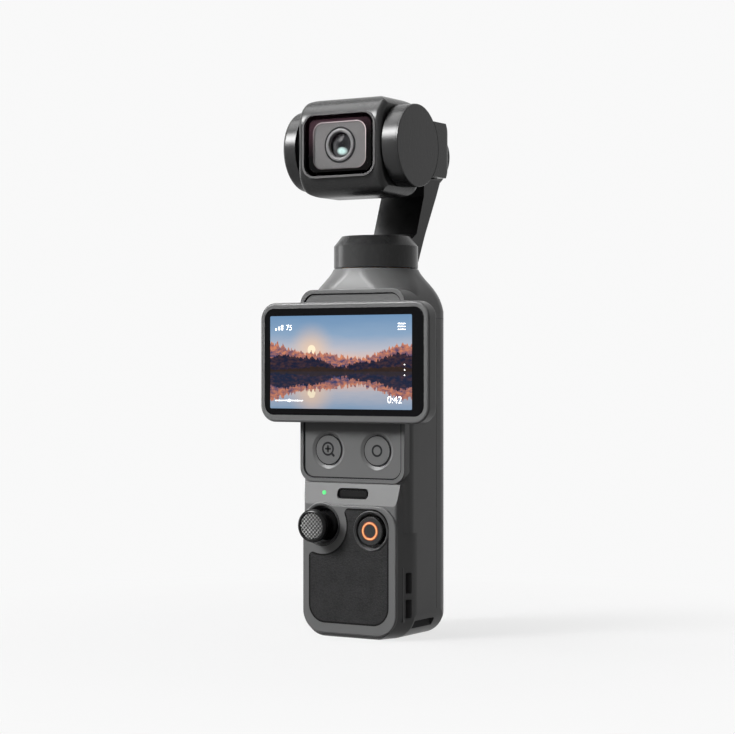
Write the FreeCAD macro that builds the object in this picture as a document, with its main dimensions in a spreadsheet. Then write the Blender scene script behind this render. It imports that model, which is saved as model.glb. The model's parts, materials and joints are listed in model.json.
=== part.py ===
import FreeCAD, Part
import math
import os

import Sketcher

# Pocket gimbal camera, in millimetres. The origin lies on the flat bottom of the handle, under the
# pan axis. X points right and Z up as seen from the front, and the front faces -Y.

SIZES = {
    # handle: outer form
    "grip_half_width": 16.75,
    "grip_back": 12.9,
    "grip_back_corner": 7.0,
    "grip_front": 13.7,
    "grip_front_margin": 2.35,
    "grip_side_start": 8.0,
    "grip_side_blend": 7.0,
    "grip_front_edge": 1.0,
    "grip_foot_corner": 7.2,
    "foot_back_turn": 4.9,
    "foot_back_slope": 4.2,
    "grip_foot_edge": 1.4,
    "scoop_rise": 5.6,
    "scoop_below_deck": 0.2,
    "waist_front": 12.5,
    "waist_front_corner": 4.0,
    "shoulder_rise": 11.5,
    "neck_top": 98.9,
    "neck_radius": 11.45,
    "wall": 1.4,
    "floor_thickness": 6.4,
    "cavity_front": 11.0,
    "cavity_front_corner": 2.6,
    "seam_back": 3.8,
    "cover_below_shoulder": 1.8,
    # handle: raised fields of the front
    "deck_front": 12.7,
    "deck_side_margin": 0.35,
    "deck_low": 41.4,
    "deck_below_neck": 5.7,
    "deck_corner": 3.8,
    "deck_depth": 8.9,
    "rim_width": 1.05,
    "rim_height": 0.4,
    "deck_panel_thickness": 0.8,
    "plateau_front": 14.2,
    "plateau_side_margin": 2.15,
    "plateau_low": 1.0,
    "plateau_below_scoop": 0.1,
    "plateau_corner": 6.0,
    "plateau_edge": 0.4,
    "grip_panel_left_margin": 2.0,
    "grip_panel_right_margin": 2.2,
    "grip_panel_low": 3.75,
    "grip_panel_top_margin": 0.8,
    "grip_panel_corner": 5.0,
    "grip_panel_thickness": 0.6,
    "grip_panel_inner_corner": 1.3,
    # handle: controls
    "stick_side_margin": 6.14,
    "stick_below_plateau": 5.5,
    "stick_field_radius": 7.8,
    "stick_pivot": 8.6,
    "collar_radius": 5.6,
    "collar_bowl": 5.25,
    "collar_hole": 4.5,
    "collar_front": 14.35,
    "collar_lip": 0.35,
    "collar_seat": 12.75,
    "stick_bore": 5.2,
    "dome_radius": 5.5,
    "dome_wall": 0.5,
    "dome_rim": 12.0,
    "stick_cap_radius": 4.45,
    "stick_cap_front": 19.6,
    "stick_cap_rim": 0.45,
    "stick_cap_thickness": 2.2,
    "stick_neck_radius": 2.8,
    "stick_rod_radius": 1.1,
    "stick_rod_tip": 17.4,
    "stick_base_half": 4.5,
    "stick_base_flange": 1.2,
    "stick_base_front": 10.2,
    "stick_base_back": 6.0,
    "stick_base_bore": 3.9,
    "yoke_radius": 3.3,
    "yoke_bore": 2.3,
    "yoke_thickness": 1.2,
    "stick_pin_radius": 0.4,
    "stick_hub_radius": 1.6,
    "stick_hub_thickness": 1.4,
    "record_side_margin": 7.65,
    "record_below_plateau": 6.6,
    "record_lip": 5.4,
    "record_lip_height": 0.2,
    "record_well_radius": 4.6,
    "record_radius": 3.8,
    "record_proud": 0.55,
    "record_ring_outer": 2.4,
    "record_ring_inner": 1.75,
    "record_ring_depth": 0.2,
    "button_side_margin": 8.8,
    "button_above_deck_foot": 8.7,
    "button_radius": 4.1,
    "button_bowl": 5.1,
    "button_inset": 0.15,
    "button_travel": 0.3,
    "button_flange": 0.7,
    "button_stem": 1.4,
    "button_flange_step": 0.8,
    "switch_height": 0.25,
    "switch_radius": 1.9,
    "slot_left": 4.3,
    "slot_right": 5.4,
    "slot_above_plateau": 1.6,
    "slot_tall": 2.9,
    "slot_corner": 1.2,
    "slot_floor": 12.2,
    "slot_bar_inset": 0.6,
    "slot_bar_front": 12.75,
    "light_left": 8.4,
    "light_above_plateau": 3.1,
    "light_radius": 0.6,
    "light_front": 13.15,
    # handle: inner pieces
    "board_front": 9.6,
    "board_thickness": 0.8,
    "board_left_margin": 2.25,
    "board_right_margin": 6.15,
    "board_low": 8.0,
    "board_above_buttons": 5.9,
    "boss_radius": 1.6,
    "boss_side": 9.2,
    "boss_low": 10.5,
    "boss_above_deck_foot": 1.2,
    "screw_radius": 0.6,
    "screw_head_radius": 1.2,
    "screw_head_height": 0.6,
    "screw_length": 1.2,
    "battery_side_margin": 3.75,
    "battery_front": -0.4,
    "battery_low": 8.0,
    "battery_high": 60.0,
    "battery_corner": 4.0,
    "main_board_thickness": 1.0,
    "main_board_side_margin": 2.55,
    "main_board_below_cover": 2.6,
    "port_half_width": 4.47,
    "port_half_depth": 1.63,
    "port_inset": 0.4,
    "port_high": 8.0,
    "port_wall": 0.3,
    "port_corner_share": 0.96,
    "port_tongue_half": 3.3,
    "port_tongue_thickness": 0.7,
    "port_tongue_inset": 0.7,
    "card_low": 14.0,
    "card_width": 11.6,
    "card_opening": 1.4,
    "card_corner_share": 0.4,
    "card_reader_depth": 13.0,
    "card_reader_thickness": 1.8,
    "speaker_half": 5.0,
    "speaker_height": 5.0,
    "strap_front": 10.8,
    "strap_back": 8.9,
    "strap_low": 5.9,
    "strap_high": 18.0,
    "strap_bar": 1.5,
    "strap_depth": 2.7,
    "strap_bar_thickness": 1.3,
    "strap_block_depth": 4.6,
    "notch_front": 7.5,
    "notch_back": 3.2,
    "notch_low": 2.0,
    "notch_high": 5.0,
    "notch_depth": 1.5,
    # display
    "hinge_left": 3.25,
    "hinge_above_deck_foot": 29.0,
    "case_front": 17.35,
    "case_back": 12.95,
    "case_half_width": 26.3,
    "case_below_hinge": 12.9,
    "case_above_hinge": 19.3,
    "case_corner": 4.6,
    "case_edge": 0.7,
    "glass_side_margin": 1.45,
    "glass_low_margin": 1.95,
    "glass_top_margin": 1.6,
    "glass_corner": 2.9,
    "glass_thickness": 0.7,
    "panel_margin": 1.2,
    "panel_thickness": 1.4,
    "hinge_hub_radius": 7.0,
    "hinge_hub_clearance": 0.1,
    "hinge_journal_radius": 5.0,
    "hinge_wire_bore": 2.2,
    "hinge_plate_half": 9.4,
    "hinge_plate_thickness": 1.0,
    "hinge_clip_radius": 6.5,
    "hinge_clip_thickness": 1.1,
    "hinge_screw_circle": 3.6,
    # motors
    "running_gap": 0.02,
    "end_gap": 0.05,
    "seam_gap": 0.3,
    "shaft_radius": 1.5,
    "bearing_radius": 2.5,
    "tower_radius": 3.2,
    "magnet_thickness": 0.7,
    "air_gap": 0.4,
    "tooth_count": 9,
    "tooth_width": 1.5,
    "stator_yoke": 1.5,
    "tooth_tip": 1.0,
    # pan ring and arm
    "ring_wall_height": 5.9,
    "ring_chamfer_height": 2.7,
    "ring_chamfer_width": 2.1,
    "ring_inner_share": 0.7,
    "ring_wall": 0.95,
    "ring_top_thickness": 1.5,
    "base_plate_radius": 10.0,
    "base_plate_thickness": 1.4,
    "arm_half_width": 6.9,
    "arm_foot_above_neck": 2.4,
    "arm_foot_back": 11.8,
    "arm_bend_rise": 7.7,
    "arm_bend_front": 10.2,
    "arm_bend_back": 15.6,
    "arm_below_head": 11.5,
    "arm_top_front": 14.3,
    "arm_top_back": 21.7,
    "arm_edge": 0.8,
    "arm_cover_half": 4.9,
    "arm_cover_thickness": 0.9,
    "arm_cover_inset": 1.3,
    "roll_radius": 9.6,
    "roll_front": 13.6,
    "roll_back": 25.3,
    "roll_wall": 1.0,
    "roll_back_thickness": 1.3,
    "roll_edge": 1.2,
    "roll_motor_length": 6.5,
    # roll bracket and tilt motor
    "head_above_neck": 32.2,
    "tilt_forward": 7.6,
    "bracket_front": 7.0,
    "bracket_back": 10.2,
    "bracket_hub_radius": 9.2,
    "bracket_up": 7.2,
    "bracket_down": 7.6,
    "bracket_side": 17.6,
    "bracket_side_thickness": 2.2,
    "bracket_slant_depth": 2.7,
    "bracket_slant_height": 4.6,
    "bracket_outer_corner": 2.4,
    "rotor_disc_radius": 9.3,
    "rotor_disc_thickness": 0.7,
    "rotor_ring_wall": 0.5,
    "tilt_radius": 11.0,
    "tilt_inner": 12.9,
    "tilt_bore": 9.7,
    "tilt_back_thickness": 0.6,
    "tilt_cap_radius": 10.95,
    "tilt_cap_thickness": 0.6,
    "tilt_cap_edge": 0.15,
    # camera head
    "head_half_depth": 11.0,
    "head_half_height": 13.2,
    "head_corner": 7.5,
    "head_left": 13.6,
    "head_right": 12.5,
    "head_end_edge": 1.6,
    "head_end_round": 5.5,
    "head_end_overrun": 1.0,
    "head_wall": 1.2,
    "head_cap_end": 18.4,
    "head_cap_radius": 10.9,
    "head_cap_edge": 1.0,
    "head_groove_width": 0.7,
    "head_groove_radius": 9.6,
    "head_back_cover_half": 9.5,
    "head_back_cover_corner": 3.0,
    "window_left": 0.5,
    "window_up": 0.2,
    "window_half_width": 10.8,
    "window_half_height": 8.1,
    "window_corner": 3.2,
    "window_thickness": 0.8,
    "window_frame_width": 0.55,
    "window_frame_proud": 0.15,
    "window_frame_depth": 1.4,
    "window_ledge": 1.1,
    "mask_thickness": 0.4,
    "mask_pad_half_width": 8.5,
    "mask_pad_half_height": 6.1,
    "mask_pad_corner": 2.2,
    "mask_pad_height": 0.35,
    "lens_left": 0.6,
    "lens_ring_radius": 4.2,
    "lens_ring_bore": 3.3,
    "lens_ring_edge": 0.4,
    "barrel_radius": 5.2,
    "barrel_bore": 4.3,
    "barrel_back": 6.2,
    "element_dome": 7.0,
    "element_thickness": 2.4,
    "rear_element_front": 11.0,
    "rear_element_thickness": 1.6,
    "sensor_half_width": 6.6,
    "sensor_half_height": 4.4,
    "sensor_thickness": 0.8,
    "sensor_board_half_width": 9.0,
    "sensor_board_half_height": 7.0,
}


class Size:
    # A number together with the spreadsheet expression that gives it.
    def __init__(self, value, text):
        self.value = value
        self.text = text

    def __add__(self, other):
        other = size(other)
        return Size(self.value + other.value, f"({self.text} + {other.text})")

    def __sub__(self, other):
        other = size(other)
        return Size(self.value - other.value, f"({self.text} - {other.text})")

    def __mul__(self, other):
        other = size(other)
        return Size(self.value * other.value, f"({self.text} * {other.text})")

    def __truediv__(self, other):
        other = size(other)
        return Size(self.value / other.value, f"({self.text} / {other.text})")

    def __neg__(self):
        return Size(-self.value, f"(0 - {self.text})")

    def __radd__(self, other):
        return size(other) + self

    def __rsub__(self, other):
        return size(other) - self

    def __rmul__(self, other):
        return size(other) * self


def size(number):
    if isinstance(number, Size):
        return number
    return Size(float(number), f"({float(number)})")


class Table:
    # The spreadsheet of driving dimensions, each one readable as an attribute.
    def __init__(self, values):
        sheet = doc.addObject("Spreadsheet::Sheet", "Dims")
        for row, (alias, value) in enumerate(values.items(), 1):
            sheet.set(f"A{row}", alias)
            sheet.set(f"B{row}", str(value))
            sheet.setAlias(f"B{row}", alias)
            setattr(self, alias, Size(value, f"Dims.{alias}"))


doc = FreeCAD.newDocument("gimbal_camera")
d = Table(SIZES)
doc.recompute()
nodes = []

# Widths that follow the half width of the handle
d.grip_front_half = d.grip_half_width - d.grip_front_margin
d.deck_half_width = d.grip_half_width - d.deck_side_margin
d.plateau_half_width = d.grip_half_width - d.plateau_side_margin
d.grip_panel_left = d.plateau_half_width - d.grip_panel_left_margin
d.grip_panel_right = d.plateau_half_width - d.grip_panel_right_margin
d.stick_left = d.plateau_half_width - d.stick_side_margin
d.record_right = d.plateau_half_width - d.record_side_margin
d.button_side = d.deck_half_width - d.button_side_margin
d.board_left = d.grip_half_width - d.board_left_margin
d.board_right = d.grip_half_width - d.board_right_margin
d.battery_half = d.grip_half_width - d.battery_side_margin
d.main_board_half = d.grip_half_width - d.main_board_side_margin

# Heights that follow one another, from the foot of the display deck and from the neck
d.scoop_top = d.deck_low - d.scoop_below_deck
d.scoop_low = d.scoop_top - d.scoop_rise
d.plateau_high = d.scoop_low - d.plateau_below_scoop
d.grip_panel_high = d.plateau_high - d.grip_panel_top_margin
d.stick_height = d.plateau_high - d.stick_below_plateau
d.record_height = d.plateau_high - d.record_below_plateau
d.slot_low = d.plateau_high + d.slot_above_plateau
d.slot_high = d.slot_low + d.slot_tall
d.light_height = d.plateau_high + d.light_above_plateau
d.button_height = d.deck_low + d.button_above_deck_foot
d.board_high = d.button_height + d.board_above_buttons
d.boss_high = d.deck_low + d.boss_above_deck_foot
d.hinge_height = d.deck_low + d.hinge_above_deck_foot
d.case_low = d.hinge_height - d.case_below_hinge
d.case_high = d.hinge_height + d.case_above_hinge
d.glass_low = d.case_low + d.glass_low_margin
d.glass_high = d.case_high - d.glass_top_margin
d.glass_half_width = d.case_half_width - d.glass_side_margin
d.shoulder_start = d.neck_top - d.shoulder_rise
d.cover_top = d.shoulder_start - d.cover_below_shoulder
d.deck_high = d.neck_top - d.deck_below_neck
d.main_board_high = d.cover_top - d.main_board_below_cover
d.arm_foot = d.neck_top + d.arm_foot_above_neck
d.arm_bend = d.arm_foot + d.arm_bend_rise
d.head_height = d.neck_top + d.head_above_neck
d.arm_top = d.head_height - d.arm_below_head

PLANES = {"X": "YZ_Plane", "Y": "XZ_Plane", "Z": "XY_Plane"}
QUARTER = math.pi / 2
CLOSE = 1e-4

# For each level of the shoulder: its share of the height, of the way in to the neck, and of the
# way from the handle's corners to the round of the neck, where a corner stops just short of it.
SHOULDER_LEVELS = [(0, 0, 0), (0.3, 0.12, 0.28), (0.56, 0.38, 0.6), (0.8, 0.75, 0.88), (1, 1, 1)]
NECK_CORNER_SHARE = 0.98


def bind(thing, name, length):
    thing.setExpression(name, size(length).text)


def node(thing):
    nodes.append(thing)
    return thing


def new_body(label):
    body = doc.addObject("PartDesign::Body", label)
    body.Label = label
    return body


def sketch_on(body, role, offset):
    sketch = body.newObject("Sketcher::SketchObject", body.Label + "_sketch")
    plane = [feature for feature in body.Origin.OriginFeatures if feature.Role == role][0]
    sketch.AttachmentSupport = (plane, [""])
    sketch.MapMode = "FlatFace"
    bind(sketch, "AttachmentOffset.Base.z", offset)
    return sketch


def pin(sketch, edge, end, across, up):
    # Fixes a point of the sketch at its two named distances from the origin.
    for kind, distance in (("DistanceX", size(across)), ("DistanceY", size(up))):
        index = sketch.addConstraint(Sketcher.Constraint(kind, -1, 1, edge, end, distance.value))
        sketch.setExpression(f"Constraints[{index}]", distance.text)


def fix_radius(sketch, edge, radius):
    index = sketch.addConstraint(Sketcher.Constraint("Radius", edge, size(radius).value))
    sketch.setExpression(f"Constraints[{index}]", size(radius).text)


def outline(points):
    # A closed loop of straight lines.
    def draw(sketch):
        first = sketch.GeometryCount
        count = len(points)
        flat = [FreeCAD.Vector(size(across).value, size(up).value, 0) for across, up in points]
        for k in range(count):
            sketch.addGeometry(Part.LineSegment(flat[k], flat[(k + 1) % count]), False)
        for k in range(count):
            following = first + (k + 1) % count
            sketch.addConstraint(Sketcher.Constraint("Coincident", first + k, 2, following, 1))
            pin(sketch, first + k, 1, points[k][0], points[k][1])
    return draw


def box(left, right, low, high):
    return outline([(left, low), (right, low), (right, high), (left, high)])


def disc(across, up, radius):
    def draw(sketch):
        centre = FreeCAD.Vector(size(across).value, size(up).value, 0)
        circle = Part.Circle(centre, FreeCAD.Vector(0, 0, 1), size(radius).value)
        edge = sketch.addGeometry(circle, False)
        pin(sketch, edge, 3, across, up)
        fix_radius(sketch, edge, radius)
    return draw


def rounded(left, right, low, high, radius):
    # A rectangle with round corners: each side is pinned, and the corner arcs join the sides.
    left, right, low, high, radius = [size(value) for value in (left, right, low, high, radius)]
    sides = [
        ((left + radius, low), (right - radius, low)),
        ((right, low + radius), (right, high - radius)),
        ((right - radius, high), (left + radius, high)),
        ((left, high - radius), (left, low + radius)),
    ]
    centres = [
        (right - radius, low + radius),
        (right - radius, high - radius),
        (left + radius, high - radius),
        (left + radius, low + radius),
    ]

    def draw(sketch):
        first = sketch.GeometryCount
        for start, end in sides:
            a = FreeCAD.Vector(start[0].value, start[1].value, 0)
            b = FreeCAD.Vector(end[0].value, end[1].value, 0)
            sketch.addGeometry(Part.LineSegment(a, b), False)
        for k, centre in enumerate(centres):
            middle = FreeCAD.Vector(centre[0].value, centre[1].value, 0)
            circle = Part.Circle(middle, FreeCAD.Vector(0, 0, 1), radius.value)
            sketch.addGeometry(Part.ArcOfCircle(circle, (k - 1) * QUARTER, k * QUARTER), False)
        for k, (start, end) in enumerate(sides):
            pin(sketch, first + k, 1, start[0], start[1])
            pin(sketch, first + k, 2, end[0], end[1])
            arc = first + 4 + k
            sketch.addConstraint(Sketcher.Constraint("Coincident", arc, 1, first + k, 2))
            sketch.addConstraint(Sketcher.Constraint("Coincident", arc, 2, first + (k + 1) % 4, 1))
            fix_radius(sketch, arc, radius)
    return draw


def prism(body, axis, low, high, *loops, cut=False):
    # Extrudes the loops between two heights on an axis. A body's XZ plane looks along -Y.
    low = size(low)
    high = size(high)
    sketch = sketch_on(body, PLANES[axis], -high if axis == "Y" else low)
    for draw in loops:
        draw(sketch)
    feature = body.newObject("PartDesign::Pocket" if cut else "PartDesign::Pad", body.Label + "_run")
    feature.Profile = sketch
    bind(feature, "Length", high - low)
    if cut:
        feature.Reversed = True
    return feature


def block(label, axis, low, high, *loops):
    body = new_body(label)
    prism(body, axis, low, high, *loops)
    return body


def turned(label, axis, centre, profile):
    # Revolves a profile of (place on the axis, radius) points about an axis through the centre.
    body = new_body(label)
    if axis == "X":
        sketch = sketch_on(body, "XY_Plane", 0)
        outline(profile)(sketch)
    else:
        sketch = sketch_on(body, "XZ_Plane" if axis == "Z" else "XY_Plane", 0)
        outline([(radius, place) for place, radius in profile])(sketch)
    turn = body.newObject("PartDesign::Revolution", label + "_turn")
    turn.Profile = sketch
    turn.ReferenceAxis = (sketch, ["H_Axis" if axis == "X" else "V_Axis"])
    turn.Angle = 360
    for name, place in zip("xyz", centre):
        bind(body, f"Placement.Base.{name}", place)
    return body


def ring(label, axis, centre, low, high, bore, radius):
    return turned(label, axis, centre, [(low, bore), (low, radius), (high, radius), (high, bore)])


def rod(label, axis, centre, low, high, radius):
    return ring(label, axis, centre, low, high, 0, radius)


def soften(body, radius, chosen, chamfer=False):
    # Rounds or bevels the edges of a body for which chosen(edge) is true.
    doc.recompute()
    base = body.Tip
    names = [f"Edge{k}" for k, edge in enumerate(base.Shape.Edges, 1) if chosen(edge)]
    kind = "PartDesign::Chamfer" if chamfer else "PartDesign::Fillet"
    feature = body.newObject(kind, body.Label + "_edge")
    feature.Base = (base, names)
    bind(feature, "Size" if chamfer else "Radius", radius)
    return feature


def upright_at(across, deep):
    # Edges that run up at a given X and Y.
    def chosen(edge):
        return all(abs(v.X - size(across).value) < CLOSE and abs(v.Y - size(deep).value) < CLOSE
                   for v in edge.Vertexes) and edge.Length > 1
    return chosen


def lying_at(axis, place):
    # Edges that lie wholly at one height on an axis.
    def chosen(edge):
        limits = edge.BoundBox
        low = getattr(limits, axis + "Min")
        high = getattr(limits, axis + "Max")
        return abs(low - size(place).value) < CLOSE and abs(high - size(place).value) < CLOSE
    return chosen


def fuse(label, *shapes):
    result = doc.addObject("Part::MultiFuse", label)
    result.Label = label
    result.Shapes = list(shapes)
    result.Refine = True
    return result


def carve(label, base, *tools):
    result = doc.addObject("Part::Cut", label)
    result.Label = label
    result.Base = base
    result.Tool = tools[0] if len(tools) == 1 else fuse(label + "_tools", *tools)
    result.Refine = True
    return result


def common(label, first, second):
    result = doc.addObject("Part::Common", label)
    result.Label = label
    result.Base = first
    result.Tool = second
    result.Refine = True
    return result


# Handle: outer form

reach = d.grip_half_width * 2
side = d.grip_half_width


def lower_grip():
    body = new_body("lower_section")
    front = -d.grip_front
    turn_in = -d.grip_side_start
    prism(body, "Z", 0, d.scoop_top, outline([
        (-d.grip_front_half, front), (d.grip_front_half, front), (side, turn_in),
        (side, d.grip_back), (-side, d.grip_back), (-side, turn_in)]))
    for sign in (-1, 1):
        soften(body, d.grip_back_corner, upright_at(side * sign, d.grip_back))
        soften(body, d.grip_side_blend, upright_at(side * sign, turn_in))
        soften(body, d.grip_front_edge, upright_at(d.grip_front_half * sign, front))
    soften(body, d.grip_foot_edge, lying_at("Z", 0))
    # The scoop slopes back from the plateau to the foot of the display deck.
    prism(body, "X", -reach, reach, outline([
        (-reach, d.scoop_low), (front, d.scoop_low), (-d.waist_front, d.scoop_top),
        (-reach, d.scoop_top)]), cut=True)
    return common("lower_grip", body, foot_profile())


def foot_profile():
    # The round of the foot follows the sides as they turn in to the front and to the back.
    slope = d.grip_front_margin / (d.grip_front - d.grip_side_start)
    front_reach = d.grip_side_blend
    front_half = side - slope * front_reach
    corner = d.grip_foot_corner
    turn = d.grip_back - d.foot_back_turn
    places = [
        (-d.grip_side_start - front_reach, front_half), (-d.grip_side_start, side), (turn, side),
        (turn + d.grip_back_corner, side - d.foot_back_slope)]
    sections = [upright_wire(place.value, half.value, corner.value, d.scoop_top.value + corner.value)
                for place, half in places]
    feature = doc.addObject("Part::Feature", "foot_profile")
    feature.Shape = Part.makeLoft(sections, True, True)
    return feature


def upright_wire(place, half, corner, top):
    # A loop across the handle with two round lower corners, always with the same six edges.
    diagonal = corner / math.sqrt(2)
    centre = half - corner
    right_end = FreeCAD.Vector(half, place, corner)
    right_mid = FreeCAD.Vector(centre + diagonal, place, corner - diagonal)
    right_low = FreeCAD.Vector(centre, place, 0)
    left_low = FreeCAD.Vector(-centre, place, 0)
    left_mid = FreeCAD.Vector(-centre - diagonal, place, corner - diagonal)
    left_end = FreeCAD.Vector(-half, place, corner)
    left_top = FreeCAD.Vector(-half, place, top)
    right_top = FreeCAD.Vector(half, place, top)
    return Part.Wire([
        Part.makeLine(left_low, right_low), Part.Arc(right_low, right_mid, right_end).toShape(),
        Part.makeLine(right_end, right_top), Part.makeLine(right_top, left_top),
        Part.makeLine(left_top, left_end), Part.Arc(left_end, left_mid, left_low).toShape()])


def waist():
    body = new_body("waist")
    front = -d.waist_front
    prism(body, "Z", d.scoop_low - d.grip_foot_corner, d.shoulder_start, outline([
        (-side, front), (side, front), (side, d.grip_back), (-side, d.grip_back)]))
    for sign in (-1, 1):
        soften(body, d.grip_back_corner, upright_at(side * sign, d.grip_back))
        soften(body, d.waist_front_corner, upright_at(side * sign, front))
    return body


def shoulder():
    # Loft through level sections from the full grip to the round neck.
    rise = (d.neck_top - d.shoulder_start).value
    sections = []
    for share, spread, corner_share in SHOULDER_LEVELS:
        half_x = side.value + (d.neck_radius.value - side.value) * spread
        half_y = d.grip_back.value + (d.neck_radius.value - d.grip_back.value) * spread
        start_corner = d.grip_back_corner.value
        corner = start_corner + (d.neck_radius.value * NECK_CORNER_SHARE - start_corner) * corner_share
        sections.append(round_wire(half_x, half_y, corner, d.shoulder_start.value + rise * share))
    feature = doc.addObject("Part::Feature", "shoulder")
    feature.Shape = Part.makeLoft(sections, True)
    return feature


def round_wire(half_x, half_y, corner, level):
    # Eight edges in the same order at every level, so that lofts through them don't twist.
    inner_x = half_x - corner
    inner_y = half_y - corner
    diagonal = corner / math.sqrt(2)
    edges = []
    for sx, sy in ((1, -1), (1, 1), (-1, 1), (-1, -1)):
        turn_x = sx * inner_x
        turn_y = sy * inner_y
        on_x = FreeCAD.Vector(turn_x + sx * corner, turn_y, level)
        on_y = FreeCAD.Vector(turn_x, turn_y + sy * corner, level)
        middle = FreeCAD.Vector(turn_x + sx * diagonal, turn_y + sy * diagonal, level)
        start, end = (on_y, on_x) if sx * sy < 0 else (on_x, on_y)
        edges.append((start, middle, end))
    wire = []
    for k, (start, middle, end) in enumerate(edges):
        wire.append(Part.Arc(start, middle, end).toShape())
        wire.append(Part.makeLine(end, edges[(k + 1) % 4][0]))
    return Part.Wire(wire)


def deck():
    body = block("deck", "Y", -d.deck_front, -d.deck_front + d.deck_depth, rounded(
        -d.deck_half_width, d.deck_half_width, d.deck_low, d.deck_high, d.deck_corner))
    soften(body, d.rim_height / 2, lying_at("Y", -d.deck_front))
    return body


def plateau_loop(sketch):
    # Three equal corners, and a fourth that swells into an arc about the stick and rises above the top side.
    half = d.plateau_half_width
    turn = d.plateau_corner
    swell = half - d.stick_left
    rise = (d.plateau_high - d.stick_height).value
    swell_end = math.sqrt(swell.value ** 2 - rise ** 2) - d.stick_left.value
    corners = [
        (-half, d.stick_height), (-half, d.plateau_low + turn), (turn - half, d.plateau_low),
        (half - turn, d.plateau_low), (half, d.plateau_low + turn), (half, d.plateau_high - turn),
        (half - turn, d.plateau_high), (Size(swell_end, ""), d.plateau_high)]
    centres = [
        (turn - half, d.plateau_low + turn, turn), (half - turn, d.plateau_low + turn, turn),
        (half - turn, d.plateau_high - turn, turn), (-d.stick_left, d.stick_height, swell)]
    swell_start = FreeCAD.Vector(swell.value, 0, 0).getAngle(FreeCAD.Vector(swell_end + d.stick_left.value, rise, 0))
    starts = [2 * QUARTER, 3 * QUARTER, 0, swell_start]
    ends = [3 * QUARTER, 4 * QUARTER, QUARTER, 2 * QUARTER]
    flat = [FreeCAD.Vector(across.value, up.value, 0) for across, up in corners]
    for k in range(4):
        sketch.addGeometry(Part.LineSegment(flat[2 * k], flat[2 * k + 1]), False)
    for (across, up, radius), start, end in zip(centres, starts, ends):
        circle = Part.Circle(FreeCAD.Vector(across.value, up.value, 0), FreeCAD.Vector(0, 0, 1), radius.value)
        sketch.addGeometry(Part.ArcOfCircle(circle, start, end), False)
    for k in range(4):
        pin(sketch, k, 1, *corners[2 * k])
        if k < 3:
            pin(sketch, k, 2, *corners[2 * k + 1])
    level = sketch.addConstraint(Sketcher.Constraint("DistanceY", -1, 1, 3, 2, d.plateau_high.value))
    sketch.setExpression(f"Constraints[{level}]", d.plateau_high.text)
    for k in range(3):
        sketch.addConstraint(Sketcher.Constraint("Coincident", 4 + k, 1, k, 2))
        sketch.addConstraint(Sketcher.Constraint("Coincident", 4 + k, 2, k + 1, 1))
        fix_radius(sketch, 4 + k, centres[k][2])
    sketch.addConstraint(Sketcher.Constraint("Coincident", 7, 1, 3, 2))
    sketch.addConstraint(Sketcher.Constraint("Coincident", 7, 2, 0, 1))
    fix_radius(sketch, 7, swell)
    level = sketch.addConstraint(Sketcher.Constraint("DistanceY", -1, 1, 7, 3, d.stick_height.value))
    sketch.setExpression(f"Constraints[{level}]", d.stick_height.text)


def plateau():
    body = block("plateau", "Y", -d.plateau_front, -d.waist_front, plateau_loop)
    soften(body, d.plateau_edge, lying_at("Y", -d.plateau_front))
    return body


def cavity():
    body = new_body("cavity")
    inner = side - d.wall
    back = d.grip_back - d.wall
    prism(body, "Z", d.floor_thickness, d.cover_top, box(-inner, inner, -d.cavity_front, back))
    for sign in (-1, 1):
        soften(body, d.grip_back_corner - d.wall, upright_at(inner * sign, back))
        soften(body, d.cavity_front_corner, upright_at(inner * sign, -d.cavity_front))
    prism(body, "Z", d.cover_top - d.wall, d.neck_top - d.base_plate_thickness, disc(
        0, 0, d.base_plate_radius - d.wall))
    return body


# Handle: pieces that are let into its front


def deck_panel():
    front = -d.deck_front + d.rim_height
    back = front + d.deck_panel_thickness
    inner = d.deck_half_width - d.rim_width
    edge = rounded(-inner, inner, d.deck_low + d.rim_width, d.deck_high - d.rim_width,
                   d.deck_corner - d.rim_width / 2)
    blank = block("deck_panel_blank", "Y", front, back, edge)
    # The shell is open in front of the panel, so that its rim stands round it.
    pocket = block("deck_pocket", "Y", -d.case_front, back, edge)
    hub = rod("deck_panel_hinge_bore", "Y", (-d.hinge_left, 0, d.hinge_height), -d.case_front, 0,
              d.hinge_hub_radius + d.hinge_hub_clearance)
    bore = d.button_radius + d.hinge_hub_clearance
    bowls = []
    for sign, name in ((-1, "left"), (1, "right")):
        bowls.append(turned(f"deck_panel_{name}_bowl", "Y", (d.button_side * sign, 0, d.button_height), [
            (front, 0), (front, d.button_bowl), (front + d.deck_panel_thickness / 2, bore),
            (back, bore), (back, 0)]))
    panel = carve("deck_panel", blank, hub, *bowls)
    return node(panel), pocket


def grip_panel():
    # The round field of the stick cuts into a corner of the inlay, and both ends of that cut are rounded.
    front = -d.plateau_front
    back = front + d.grip_panel_thickness
    inlay = block("grip_inlay", "Y", front, back, rounded(
        -d.grip_panel_left, d.grip_panel_right, d.grip_panel_low, d.grip_panel_high, d.grip_panel_corner))
    prism(inlay, "Y", front, back, disc(-d.stick_left, d.stick_height, d.stick_field_radius), cut=True)
    soften(inlay, d.grip_panel_inner_corner, end_of_stick_field)
    lip = rod("record_lip_bore", "Y", record_centre, -reach, 0, d.record_lip)
    return node(carve("grip_panel", inlay, lip)), inlay


def end_of_stick_field(edge):
    # The two edges through the inlay's thickness where the stick's field meets its outline.
    away = [math.hypot(v.X + d.stick_left.value, v.Z - d.stick_height.value) for v in edge.Vertexes]
    through = edge.BoundBox.YLength > d.grip_panel_thickness.value - CLOSE
    return through and all(abs(length - d.stick_field_radius.value) < CLOSE for length in away)


stick_centre = (-d.stick_left, 0, d.stick_height)
record_centre = (d.record_right, 0, d.record_height)
hinge_centre = (-d.hinge_left, 0, d.hinge_height)
button_centres = {
    "zoom": (-d.button_side, 0, d.button_height),
    "custom": (d.button_side, 0, d.button_height),
}


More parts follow.
